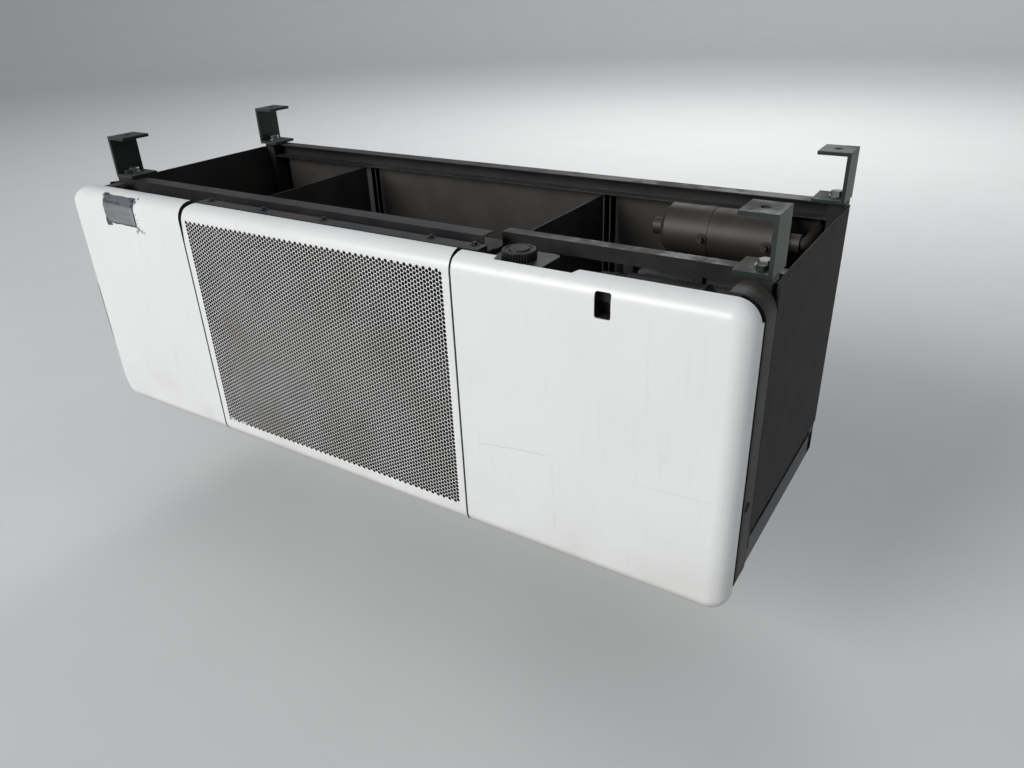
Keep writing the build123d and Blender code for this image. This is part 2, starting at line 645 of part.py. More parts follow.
# Machinery in the engine bay. Blocks are given by their first and last place along X, depth and height
ENGINE_CHAMFER = 14.0
EXHAUST_X = 600.0
EXHAUST_DEPTH = 588.0
EXHAUST_R = 16.0
EXHAUST_JOINT = -150.0
MANIFOLD_Z = -214.0
# Crankcase, sump, cylinder head, valve cover and four feet on the bay's floor
ENGINE_BLOCKS = (
    (500, 822, 262, 598, -470, -250),
    (530, 800, 300, 560, -560, -470),
    (515, 805, 292, 568, -250, -182),
    (532, 788, 335, 525, -182, -145),
    (512, 572, 232, 292, pan_top, -430),
    (512, 572, 568, 628, pan_top, -430),
    (750, 810, 232, 292, pan_top, -430),
    (750, 810, 568, 628, pan_top, -430),
)
# Radius, start, length and axis of the bell housing, drive pulley, intake and exhaust manifolds,
# oil filter and exhaust pipe
ENGINE_DRUMS = (
    (120, 494, 430, -400, 20, "x"),
    (72, 815, 430, -400, 30, "x"),
    (22, 540, 280, MANIFOLD_Z, 240, "x"),
    (24, 540, 580, MANIFOLD_Z, 240, "x"),
    (36, 640, 205, -400, 60, "y"),
    (EXHAUST_R, EXHAUST_X, EXHAUST_DEPTH, MANIFOLD_Z, EXHAUST_JOINT - MANIFOLD_Z, "z"),
)
engine = Solid()
for bounds in ENGINE_BLOCKS:
    engine = engine + chamfer(block(*bounds).edges().filter_by(Axis.Z), ENGINE_CHAMFER)
for place in ENGINE_DRUMS:
    engine = engine + drum(*place)
save("engine", engine)

# The compressor is flanged to the bell housing
COMPRESSOR_OUTLINE = ((0, 0), (0, 70), (18, 92), (112, 92), (118, 64), (140, 64), (140, 0))
COMPRESSOR_HEAD = (372, 466, 385, 475, -340, -300)
save("compressor", turned(COMPRESSOR_OUTLINE, 354, 430, -400, "x") + block(*COMPRESSOR_HEAD))

# The air filter hangs under the tie, and the muffler under the engine bay's rear rail
AIR_FILTER_OUTLINE = ((0, 0), (0, 56), (60, 56), (60, 62), (216, 62), (230, 48), (230, 0))
FILTER_LUGS = (620.0, 760.0)
FILTER_LUG = (-10, 10, 200, 225, -70, BULKHEAD_TOP)
air_filter = turned(AIR_FILTER_OUTLINE, 575, 170, -110, "x")
for x in FILTER_LUGS:
    air_filter = air_filter + Pos(x, 0, 0) * block(*FILTER_LUG)
save("air_filter", air_filter)

MUFFLER_OUTLINE = (
    (0, 0), (0, 20), (30, 20), (30, 46), (42, 58), (298, 58), (310, 46), (310, 20), (340, 20), (340, 0),
)
MUFFLER_Z = -78.0
MUFFLER_STRAPS = (645.0, 790.0)
MUFFLER_STRAP = (-12, 12, 590, 700, BULKHEAD_TOP - 4, BULKHEAD_TOP)
muffler = turned(MUFFLER_OUTLINE, 510, 590, MUFFLER_Z, "x")
muffler = muffler + drum(EXHAUST_R, EXHAUST_X, EXHAUST_DEPTH, EXHAUST_JOINT, MUFFLER_Z - EXHAUST_JOINT, "z")
for x in MUFFLER_STRAPS:
    muffler = muffler + Pos(x, 0, 0) * block(*MUFFLER_STRAP)
save("muffler", muffler)

# The expansion tank stands on a folded shelf on the right bulkhead, with the filler cap on top
TANK_FILLET = 14.0
CAP_X = 437.0
CAP_DEPTH = 95.0
CAP_R = 35.0
CAP_HEIGHT = 24.0
CAP_EDGE = 3.0
TANK = (383, 503, 56, 148, -150, -CAP_HEIGHT)
SHELF_SHEET = 4.0
SHELF_LUG = 50.0
save("expansion_tank", fillet(block(*TANK).edges().filter_by(Axis.Z), TANK_FILLET))
tank_x1, tank_d0, tank_d1, shelf_top = TANK[1:5]
shelf_x0 = RIGHT_BULKHEAD_X + BULKHEAD_SHEET / 2
shelf = block(shelf_x0, tank_x1, tank_d0, tank_d1, shelf_top - SHELF_SHEET, shelf_top)
shelf_lug = block(shelf_x0, shelf_x0 + SHELF_SHEET, tank_d0, tank_d1, shelf_top - SHELF_LUG, shelf_top)
save("tank_shelf", shelf + shelf_lug)
cap_shoulder = CAP_HEIGHT - CAP_EDGE
CAP_OUTLINE = ((0, 0), (0, CAP_R), (cap_shoulder, CAP_R), (CAP_HEIGHT, CAP_R - CAP_EDGE), (CAP_HEIGHT, 0))
save("filler_cap", turned(CAP_OUTLINE, CAP_X, CAP_DEPTH, -CAP_HEIGHT, "z"))

# Machinery in the left bay: the battery stands in its tray, and the receiver on the bay's floor
BATTERY_CASE = (-866, -624, 154, 321, -579.5, -380)
BATTERY_LID = (-870, -620, 150, 325, -380, -362)
TERMINALS = (-835.0, -655.0)
battery = block(*BATTERY_CASE) + block(*BATTERY_LID)
for x in TERMINALS:
    battery = battery + drum(8, x, 175, -362, 14, "z")
save("battery", battery)
TRAY = (-873, -617, 147, 328, pan_top, -556)
TRAY_HOLLOW = (-870, -620, 150, 325, -579.5, -550)
save("battery_tray", block(*TRAY) - block(*TRAY_HOLLOW))

# The control box is screwed to the left bulkhead
BOX_BODY = (-605, LEFT_BULKHEAD_X - BULKHEAD_SHEET / 2, 144, 340, -560, -250)
BOX_LID = (-601, -484, 139, 144, -556, -254)
save("control_box", fillet(block(*BOX_BODY).edges().filter_by(Axis.Y), CUP_RIM) + block(*BOX_LID))

RECEIVER_OUTLINE = ((0, 0), (0, 44), (30, 44), (30, 34), (54, 58), (350, 58), (372, 36), (372, 0))
save("receiver_tank", turned(RECEIVER_OUTLINE, -595, 520, pan_top, "z"))

# Rear closing sheets, two of them with columns of air slots in their lower half
REAR_SHEET = 2.0
REAR_TOP = -5.0
AIR_SLOTS = 5
AIR_SLOT_WIDTH = 175.0
AIR_SLOT_HEIGHT = 18.0
AIR_SLOT_PITCH = 50.0
AIR_SLOT_LOW = -521.0
rear_depth = REAR_RAIL_DEPTH + RAIL_WIDTH
rear_back = rear_depth + REAR_SHEET
air_slot = Rectangle(AIR_SLOT_WIDTH, AIR_SLOT_HEIGHT)
# Name, first and last place along X, middle of each column of slots
REAR_PANELS = (
    ("left_rear_panel", -PAN_X, left_bay_x1, ()),
    ("centre_rear_panel", LEFT_BULKHEAD_X, RIGHT_BULKHEAD_X, (-374.0, -174.0, 26.0, 226.0)),
    ("right_rear_panel", right_bay_x0, PAN_X, (492.5, 692.5)),
)
for name, x0, x1, columns in REAR_PANELS:
    rear = block(x0, x1, rear_depth, rear_back, RAIL_TOP, REAR_TOP)
    for x in columns:
        for k in range(AIR_SLOTS):
            slot_z = AIR_SLOT_LOW + k * AIR_SLOT_PITCH
            rear = rear - along_y(air_slot, x, slot_z, rear_depth - PAST, rear_back + PAST)
    save(name, rear)
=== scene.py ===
# %% [markdown]
# # A refrigeration unit that hangs under a truck's floor
#
# The wide white unit is bolted under a truck's floor. Behind its three covers sit a condenser coil
# with two fans, a small diesel engine with its compressor, and a battery bay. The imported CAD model
# brings the main shapes in their places. This lesson gives the unit its looks: the paint, the
# finely punched grille, the strip of old tape, the bolts and the dust of the road.
#
# Everything is in metres, in the frame of the CAD model: X runs along the truck, Y goes in under
# the floor and Z is up.

# %% Load the frame
import math

import bmesh
import bpy
from mathutils import Matrix, Vector, noise


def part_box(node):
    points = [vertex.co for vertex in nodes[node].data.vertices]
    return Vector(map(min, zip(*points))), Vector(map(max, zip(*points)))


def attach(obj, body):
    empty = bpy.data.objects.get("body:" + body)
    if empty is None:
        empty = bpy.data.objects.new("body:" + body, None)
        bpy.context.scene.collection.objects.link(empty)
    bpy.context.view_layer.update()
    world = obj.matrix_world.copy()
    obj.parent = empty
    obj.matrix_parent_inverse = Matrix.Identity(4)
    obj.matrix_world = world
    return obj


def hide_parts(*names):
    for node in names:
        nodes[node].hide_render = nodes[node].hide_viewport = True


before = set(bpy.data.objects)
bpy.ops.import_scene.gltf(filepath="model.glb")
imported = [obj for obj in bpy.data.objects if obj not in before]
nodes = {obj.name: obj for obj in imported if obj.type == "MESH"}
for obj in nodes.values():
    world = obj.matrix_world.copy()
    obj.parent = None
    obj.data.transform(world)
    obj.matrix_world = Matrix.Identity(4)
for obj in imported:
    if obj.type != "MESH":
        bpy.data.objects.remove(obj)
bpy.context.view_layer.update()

scene = bpy.context.scene

# %% [markdown]
# Places on the unit are easier to read as a fitter would give them: along the truck, back from the
# covers' front face, and down from the covers' top edge, in millimetres. One helper turns such a
# place into the frame's metres.

# %% Places on the unit
MM = 0.001
FRONT_Y = -0.428
TOP_Z = -0.110


def at(along, back, up):
    """A place on the unit in the frame's metres, from millimetres along, back and up (minus is down)."""
    return Vector((along * MM, FRONT_Y + back * MM, TOP_Z + up * MM))


print("right door's lower corner at", [round(v, 3) for v in at(933, 0, -647)])

# %% [markdown]
# ## Camera
#
# The photograph was taken from near the right-hand end of the unit, from above it, with the camera
# slightly turned. The lens, the place and the directions below were solved from the photograph's
# parallel lines and its scale, so the render lines up with it.

# %% Camera that matches the photograph
PHOTO_WIDTH = 1024
FOCAL_PIXELS = 790.92
SENSOR = 36.0
CAMERA_PLACE = Vector((1.237, -1.577, 0.360))
SOLVED_RIGHT = Vector((0.8416, 0.5389, -0.0352))
SOLVED_UP = Vector((-0.2227, 0.4057, 0.8865))
camera_right = SOLVED_RIGHT.normalized()
camera_back = camera_right.cross(SOLVED_UP).normalized()
camera_up = camera_back.cross(camera_right)

lens = bpy.data.cameras.new("camera")
lens.sensor_width = SENSOR
lens.lens = SENSOR * FOCAL_PIXELS / PHOTO_WIDTH
camera = bpy.data.objects.new("camera", lens)
scene.collection.objects.link(camera)
turn = Matrix((camera_right, camera_up, camera_back)).transposed().to_4x4()
camera.matrix_world = Matrix.Translation(CAMERA_PLACE) @ turn
scene.camera = camera
print("lens", round(lens.lens, 1), "mm")

# %% [markdown]
# ## Finishes
#
# A finish is a small node graph. Plain numbers go straight onto the shader; whatever changes over
# the surface, such as dust, scratches or grain, is computed from the place on the object. A few
# short helpers cover most of it.

# %% Helpers that build finishes
# Outputs of the texture coordinate node: the way a surface faces, and the place on the object
FACING = 1
PLACE = 3
# The plain value among the outputs of the vector, wave and checker nodes
VALUE = 1


def finish(name, **sockets):
    """A new finish whose shader has the given plain values, such as Roughness or Metallic."""
    made = bpy.data.materials.new(name)
    made.use_nodes = True
    shader = made.node_tree.nodes["Principled BSDF"]
    for socket, value in sockets.items():
        shader.inputs[socket.replace("_", " ")].default_value = value
    return made


def step(look, kind, out=0, settings=None, **sockets):
    """Adds one node to a finish and gives back one of its outputs. s0, s1... name sockets by number."""
    node = look.node_tree.nodes.new("ShaderNode" + kind)
    for name, value in (settings or {}).items():
        setattr(node, name, value)
    for name, value in sockets.items():
        key = int(name[1:]) if name[0] == "s" and name[1:].isdigit() else name.replace("_", " ")
        if isinstance(value, bpy.types.NodeSocket):
            look.node_tree.links.new(value, node.inputs[key])
        else:
            node.inputs[key].default_value = value
    return node.outputs[out]


def place_of(look, stretch=(1, 1, 1)):
    """The place on the object in metres, stretched so that grain can run one way."""
    here = step(look, "TexCoord", out=PLACE)
    return step(look, "Mapping", Vector=here, Scale=stretch)


def grain(look, scale, detail=4, stretch=(1, 1, 1), rough=0.55):
    """Soft random values between 0 and 1."""
    where = place_of(look, stretch)
    return step(look, "TexNoise", Vector=where, Scale=scale, Detail=detail, Roughness=rough)


def fade(look, value, low, high, to_low=0.0, to_high=1.0):
    """A value that goes smoothly from one number to another between two limits."""
    settings = {"interpolation_type": "SMOOTHSTEP"}
    return step(look, "MapRange", settings=settings, s0=value, s1=low, s2=high, s3=to_low, s4=to_high)


def sums(look, kind, a, b):
    """Plain arithmetic on two values."""
    return step(look, "Math", settings={"operation": kind}, s0=a, s1=b)


def mix(look, share, under, over):
    """Two colours mixed by a share between 0 and 1. Sockets 6 and 7 of the mix node take colours."""
    return step(look, "Mix", out=2, settings={"data_type": "RGBA"}, s0=share, s6=under, s7=over)


def axis_of(look, axis, kind=PLACE):
    """One coordinate of the place on the object, or of the direction that its surface faces."""
    whole = step(look, "TexCoord", out=kind)
    return step(look, "SeparateXYZ", out="XYZ".index(axis), Vector=whole)


def colour_of(look):
    """The colour that a finish has so far."""
    return look.node_tree.nodes["Principled BSDF"].inputs["Base Color"].links[0].from_socket


def wear(look, colour=None, roughness=None, height=None, depth=0.0003, strength=1.0):
    """Joins the worked-out colour, roughness and height to the finish's shader."""
    tree = look.node_tree
    shader = tree.nodes["Principled BSDF"]
    if colour is not None:
        tree.links.new(colour, shader.inputs["Base Color"])
    if roughness is not None:
        tree.links.new(roughness, shader.inputs["Roughness"])
    if height is not None:
        bump = step(look, "Bump", Height=height, Distance=depth, Strength=strength)
        tree.links.new(bump, shader.inputs["Normal"])
    return look


print("helpers ready")

# %% [markdown]
# ## Stage and light
#
# A pale floor lies 350 mm under the unit and curves up far away, so that no horizon shows. The sun
# in the photograph comes from in front of the unit, from the left and from above. One large soft
# lamp stands there. Three weaker ones open up the shadows on the right, draw the edges from behind
# and light the background.

# %% Floor
FLOOR_Z = -1.107
FLOOR_FLAT = 14.0
FLOOR_CURVE = 6.0
FLOOR_SIDES = 96
FLOOR_STEPS = 12

bowl = bmesh.new()
rings = []
for k in range(FLOOR_STEPS + 1):
    angle = math.pi / 2 * k / FLOOR_STEPS
    reach = FLOOR_FLAT + FLOOR_CURVE * math.sin(angle)
    rise = FLOOR_Z + FLOOR_CURVE * (1 - math.cos(angle))
    around = [2 * math.pi * s / FLOOR_SIDES for s in range(FLOOR_SIDES)]
    rings.append([bowl.verts.new((reach * math.cos(a), reach * math.sin(a), rise)) for a in around])
bowl.faces.new(rings[0])
for inner, outer in zip(rings, rings[1:]):
    for s in range(FLOOR_SIDES):
        bowl.faces.new((inner[s], inner[s - 1], outer[s - 1], outer[s]))
floor_mesh = bpy.data.meshes.new("floor")
bowl.to_mesh(floor_mesh)
bowl.free()
for face in floor_mesh.polygons:
    face.use_smooth = True
floor = bpy.data.objects.new("floor", floor_mesh)
scene.collection.objects.link(floor)
pale = finish("pale_floor", Roughness=0.85)
wear(pale, colour=mix(pale, grain(pale, 3), (0.75, 0.75, 0.74, 1), (0.80, 0.80, 0.79, 1)))
floor_mesh.materials.append(pale)
print("floor at", FLOOR_Z, "m")

# %% Light
SKY = (0.86, 0.92, 1.0, 1.0)
SKY_STRENGTH = 0.27
UNIT_MIDDLE = (0, 0, -0.4)
BACKDROP = (-2.0, 14.0, 1.5)
# The lamp on the sun side keeps its light within this angle
SUN_SPREAD = math.radians(120)
# Name, place, aim, size and power of each lamp
LAMPS = (
    ("sun_side", (-5.0, -11.3, 5.0), UNIT_MIDDLE, 7.0, 585),
    ("fill_right", (5.5, -2.4, 1.6), UNIT_MIDDLE, 3.0, 8),
    ("rim_behind", (-1.5, 6.5, 4.2), UNIT_MIDDLE, 4.0, 140),
    ("backdrop_wash", (-1.0, 5.0, 6.5), BACKDROP, 4.0, 430),
)

sky = bpy.data.worlds.new("sky")
sky.use_nodes = True
sky.node_tree.nodes["Background"].inputs["Color"].default_value = SKY
sky.node_tree.nodes["Background"].inputs["Strength"].default_value = SKY_STRENGTH
scene.world = sky
for name, spot, aim, size, power in LAMPS:
    lamp = bpy.data.lights.new(name, "AREA")
    lamp.shape = "DISK"
    lamp.size = size
    lamp.energy = power
    if name == "sun_side":
        lamp.spread = SUN_SPREAD
    holder = bpy.data.objects.new(name, lamp)
    holder.location = spot
    holder.rotation_euler = (Vector(aim) - Vector(spot)).to_track_quat("-Z", "Y").to_euler()
    scene.collection.objects.link(holder)
scene.view_settings.view_transform = "Standard"
print(len(LAMPS), "lamps")

# %% [markdown]
# ## Pieces
#
# A piece is a mesh with a finish that moves with one body of the frame. CAD nodes keep their shape.
# Modifiers join the corners of their triangles, so that rounded edges shade smoothly and folded
# edges stay crisp, and on some nodes they also break the sharp edges by less than a millimetre.

# %% Helpers for pieces and nodes
CRISP = math.radians(28)
HEXAGON = 6
WASHER_SIDES = 20


def piece(name, shape, body, look, slot, *stands_for):
    """Adds a built shape to the scene as a piece on a body, with its finish and the nodes it stands for."""
    mesh = bpy.data.meshes.new(name)
    bmesh.ops.recalc_face_normals(shape, faces=shape.faces[:])
    shape.to_mesh(mesh)
    shape.free()
    for face in mesh.polygons:
        face.use_smooth = True
    mesh.set_sharp_from_angle(angle=CRISP)
    mesh.materials.append(look)
    made = bpy.data.objects.new(name, mesh)
    scene.collection.objects.link(made)
    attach(made, body)
    if stands_for:
        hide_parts(*stands_for)
    print(name, len(mesh.polygons), "faces")


def dress(look, *names, bevel=0.0):
    """Gives CAD nodes a finish, smooth rounded edges and, where wanted, slightly broken sharp edges."""
    for name in names:
        node = nodes[name]
        node.data.materials.clear()
        node.data.materials.append(look)
        weld = node.modifiers.new("joined corners", "WELD")
        weld.merge_threshold = 0.00001
        if bevel:
            broken = node.modifiers.new("broken edges", "BEVEL")
            broken.width = bevel
            broken.segments = 2
            broken.limit_method = "ANGLE"
            broken.angle_limit = CRISP
        split = node.modifiers.new("crisp folds", "EDGE_SPLIT")
        split.split_angle = CRISP
        node.modifiers.new("even shading", "WEIGHTED_NORMAL")
    print(look.name, "on", ", ".join(names))


def turned(shape, outline, sides, place, axis=(0, 0, 1), teeth=None):
    """Adds a turned form from (radius, height) points. teeth gives each side its share of the radius."""
    stand = Vector(axis).to_track_quat("Z", "Y").to_matrix().to_4x4()
    stand = Matrix.Translation(place) @ stand
    rings = []
    for radius, height in outline:
        if radius == 0:
            rings.append([shape.verts.new(stand @ Vector((0, 0, height)))])
            continue
        ring = []
        for s in range(sides):
            angle = 2 * math.pi * s / sides
            reach = radius * (teeth(s, radius, height) if teeth else 1)
            spot = Vector((reach * math.cos(angle), reach * math.sin(angle), height))
            ring.append(shape.verts.new(stand @ spot))
        rings.append(ring)
    for low, high in zip(rings, rings[1:]):
        for s in range(sides):
            if len(low) == 1:
                corners = [low[0], high[s], high[s - 1]]
            elif len(high) == 1:
                corners = [low[s - 1], low[s], high[0]]
            else:
                corners = [low[s - 1], low[s], high[s], high[s - 1]]
            shape.faces.new(corners)


def disk(shape, radius, thick, sides, place, axis):
    """A plain round disk."""
    turned(shape, ((0, 0), (radius, 0), (radius, thick), (0, thick)), sides, place, axis)


def bolt(shape, place, axis, across, head, washer=0.5):
    """A hexagon bolt head on its washer. washer is how far that stands out, as a share of the width."""
    face = Vector(axis).normalized()
    thick = head * 0.25
    disk(shape, across * (0.5 + washer), thick, WASHER_SIDES, place, axis)
    corner = across / math.sqrt(3)
    outline = ((0, 0), (corner, 0), (corner, head * 0.8), (corner * 0.86, head), (0, head))
    turned(shape, outline, HEXAGON, Vector(place) + face * thick, axis)


print("helpers ready")

# %% [markdown]
# ## White cover paint
#
# The covers are sheet steel in a gloss white powder coat. It is a hard, slightly rippled skin.
# Years on the road have left a thin film of dust that is thickest low down, faint rain streaks,
# small chips and a broad, very soft waviness of the sheet that shows only in reflections. The same
# recipe serves all three covers, and the doors add marks of their own.

# %% Cover paint
CLEAN_WHITE = (0.80, 0.805, 0.79, 1)
DUSTY_WHITE = (0.60, 0.585, 0.55, 1)
STREAK_GREY = (0.52, 0.52, 0.50, 1)
CHIP_GREY = (0.16, 0.155, 0.15, 1)
UNDERSIDE_DIRT_AND_SHADE = (0.40, 0.37, 0.33, 1)
# Black of the painted shade in the seams, and beside the door on the end hoops
SEAM_SHADE_BLACK = (0.012, 0.012, 0.012, 1)
INNER_SHADE_BLACK = (0.020, 0.020, 0.021, 1)
FOAM_DIMPLES = 42
COVER_LOW = TOP_Z - 0.647
# Place of each seam along the truck, and how far in its turned edges are fully black with painted shade
SEAMS = ((-486, 2.2), (336, 7.0))
UNIT_HEART = at(0, 300, -323)


def painted_seam_shade(look):
    """1 on the covers' narrow edges that are turned in along the seams, painted black as the shade deep in
    the gaps.
    """
    x = axis_of(look, "X")
    sideways = fade(look, sums(look, "ABSOLUTE", axis_of(look, "X", kind=FACING), 0), 0.5, 0.8)
    marks = []
    for seam, black_from in SEAMS:
        off = sums(look, "ABSOLUTE", sums(look, "SUBTRACT", x, at(seam, 0, 0).x), 0)
        inside = fade(look, axis_of(look, "Y"), at(0, 0.4, 0).y, at(0, black_from, 0).y)
        marks.append(sums(look, "MULTIPLY", fade(look, off, 0.0046, 0.0052, 1, 0), inside))
    return sums(look, "MULTIPLY", sums(look, "MAXIMUM", *marks), sideways)


def lining_and_inner_shade(look):
    """1 on the covers' inner sides, which face the unit's middle: a black foam lining, whose black is also
    painted shade for the dark inside of the unit.
    """
    place = step(look, "TexCoord", out=PLACE)
    facing = step(look, "TexCoord", out=FACING)
    outwards = step(look, "VectorMath", settings={"operation": "SUBTRACT"}, s0=place, s1=UNIT_HEART)
    dot = {"operation": "DOT_PRODUCT"}
    turned_out = step(look, "VectorMath", out=VALUE, settings=dot, s0=outwards, s1=facing)
    return fade(look, turned_out, -0.03, 0.0, 1, 0)


def cover_paint(name, extra=None):
    """Gloss white paint with its dust, streaks and chips, painted shade in the seams and on the inner
    sides, and brown on the faces that look down, partly dirt and partly painted shade. extra may lay more
    marks over the colour.
    """
    look = finish(name, Coat_Weight=0.2, Coat_Roughness=0.32, IOR=1.45)
    height = axis_of(look, "Z")
    low_down = fade(look, height, COVER_LOW, COVER_LOW + 0.22, 0.55, 0.10)
    film = fade(look, grain(look, 5, detail=3), 0.30, 0.80)
    film = sums(look, "MULTIPLY", film, low_down)
    colour = mix(look, film, CLEAN_WHITE, DUSTY_WHITE)
    streaks = fade(look, grain(look, 9, detail=6, stretch=(7, 7, 0.7)), 0.56, 0.80, 0, 0.30)
    colour = mix(look, streaks, colour, STREAK_GREY)
    chips = fade(look, grain(look, 420, detail=2), 0.735, 0.765, 0, 0.75)
    colour = mix(look, chips, colour, CHIP_GREY)
    # Faces that look down turn brownish grey: partly road dirt, partly painted shade under the covers.
    downward_dirt_and_shade = fade(look, axis_of(look, "Z", kind=FACING), -0.80, -0.04, 0.85, 0)
    colour = mix(look, downward_dirt_and_shade, colour, UNDERSIDE_DIRT_AND_SHADE)
    # Painted shade: the seams' turned-in edges darken with depth into the gap.
    colour = mix(look, painted_seam_shade(look), colour, SEAM_SHADE_BLACK)
    if extra:
        colour = extra(look, colour)
    lining = lining_and_inner_shade(look)
    # Painted shade and foam lining: the inner sides turn black.
    colour = mix(look, lining, colour, INNER_SHADE_BLACK)
    shine = fade(look, film, 0.0, 0.5, 0.32, 0.42)
    gloss = sums(look, "MAXIMUM", shine, sums(look, "MULTIPLY", lining, 0.85))
    ripple = sums(look, "MULTIPLY", grain(look, 260, detail=1), 0.12)
    waves = sums(look, "ADD", grain(look, 2.6, detail=1), ripple)
    dimples = step(look, "TexVoronoi", Vector=place_of(look), Scale=FOAM_DIMPLES, Randomness=0.2)
    waves = sums(look, "ADD", waves, sums(look, "MULTIPLY", dimples, sums(look, "MULTIPLY", lining, 4.0)))
    return wear(look, colour, gloss, waves, depth=0.0016, strength=0.25)


white = cover_paint("cover_paint_white")
dress(white, "centre_cover")

# %% [markdown]
# ### Marks on the two doors
#
# The right door has three faint scrapes. The left door carries the grime that crept out round an
# old piece of tape. Each mark is a narrow band measured from a line, or a ragged spot round a
# point.

# %% Marks on the doors
GRIME = (0.055, 0.055, 0.06, 1)
SCRAPE_GREY = (0.42, 0.42, 0.41, 1)
# How uneven a spot's border is, as a share of its size
RAGGED = 0.6


def near_line(look, start, end, width):
    """1 on a line between two (along, up) places on the front, falling to 0 at the given distance."""
    (x0, z0), (x1, z1) = [(at(x, 0, z).x, at(x, 0, z).z) for x, z in (start, end)]
    slope = (z1 - z0) / (x1 - x0)
    x = axis_of(look, "X")
    wobble = sums(look, "MULTIPLY", grain(look, 14, detail=3), 0.010)
    line = sums(look, "ADD", sums(look, "MULTIPLY", x, slope), z0 - slope * x0 - 0.005)
    z = axis_of(look, "Z")
    path = sums(look, "ADD", line, wobble)
    off = sums(look, "ABSOLUTE", sums(look, "SUBTRACT", z, path), 0)
    beside = fade(look, off, 0, width, 1, 0)
    begins = fade(look, x, x0 - 0.01, x0 + 0.03)
    ends = fade(look, x, x1 - 0.03, x1 + 0.01, 1, 0)
    return sums(look, "MULTIPLY", beside, sums(look, "MULTIPLY", begins, ends))


def near_spot(look, place, size):
    """1 at a place, falling to 0 with a ragged border at the given size."""
    here = step(look, "TexCoord", out=PLACE)
    distance = {"operation": "DISTANCE"}
    apart = step(look, "VectorMath", out=VALUE, settings=distance, s0=here, s1=place)
    border = sums(look, "MULTIPLY", grain(look, 210, detail=4, rough=0.7), RAGGED * size * 2)
    return fade(look, sums(look, "ADD", apart, border), size * 1.15, size * 1.55, 1, 0)


# Start and end of each scrape as (along, up), its half width and how strongly it shows
SCRAPES = (
    ((372, -411), (556, -389), 0.0022, 0.40),
    ((744, -394), (905, -385), 0.0016, 0.25),
    ((392, -200), (470, -214), 0.0012, 0.22),
)


def right_door_marks(look, colour):
    """Lays the scrapes over the right door's colour."""
    for start, end, width, share in SCRAPES:
        line = sums(look, "MULTIPLY", near_line(look, start, end, width), share)
        colour = mix(look, line, colour, SCRAPE_GREY)
    return colour


# Place, size and strength of each patch of grime round the tape
SPOTS = (
    ((-666, 0, -84), 0.0085, 0.75), ((-654, 0, -89), 0.007, 0.55), ((-674, 0, -92), 0.006, 0.6),
    ((-643, 0, -91), 0.005, 0.45), ((-802, 0, -78), 0.0035, 0.8), ((-782, 0, -84), 0.006, 0.8),
    ((-664, 0, -46), 0.0032, 0.5), ((-662, 0, -60), 0.0032, 0.5), ((-666, 0, -70), 0.003, 0.5),
    ((-803, 14, -10), 0.008, 0.9), ((-799, 6, -20), 0.006, 0.9), ((-666, 9, -16), 0.006, 0.85),
    ((-660, 16, -8), 0.005, 0.8),
)


def left_door_marks(look, colour):
    """Lays the grime round the tape over the left door's colour."""
    for place, size, share in SPOTS:
        spot = sums(look, "MULTIPLY", near_spot(look, at(*place), size), share)
        colour = mix(look, spot, colour, GRIME)
    return colour


dress(cover_paint("right_door_paint", right_door_marks), "right_door")
dress(cover_paint("left_door_paint", left_door_marks), "left_door")

# %% [markdown]
# ## Punched grille
#
# The condenser breathes through a field of round holes punched straight through the centre cover.
# They stand in vertical columns, each shifted half a pitch from the next, so six neighbours
# surround every hole. The sheet is built from one repeated cell, a hexagon with a round hole in it.
# Half cells close the shifted columns' ends, so the field ends square, as the punching does. The
# sheet is then given its thickness. Two halves keep each piece's mesh light.

# %% Punched grille
HOLE_COLUMNS = 96
HOLE_ROWS = 59
HOLE_R = 0.0043
HOLE_SIDES = 12
GRILLE_RIM = 0.0004
GRILLE_SHEET = 0.0007
WEB_DUST = (0.42, 0.37, 0.31, 1)
HOLE_WALL_SHADE = (0.045, 0.043, 0.04, 1)
grille_low, grille_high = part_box("condenser_grille")
across = (grille_high.x - grille_low.x - 2 * GRILLE_RIM) / HOLE_COLUMNS
pitch = (grille_high.z - grille_low.z) / HOLE_ROWS
# Half widths of a cell at its middle and at its flat top
cell_wide = (across ** 2 + pitch ** 2 / 4) / (2 * across)
cell_narrow = (across ** 2 - pitch ** 2 / 4) / (2 * across)


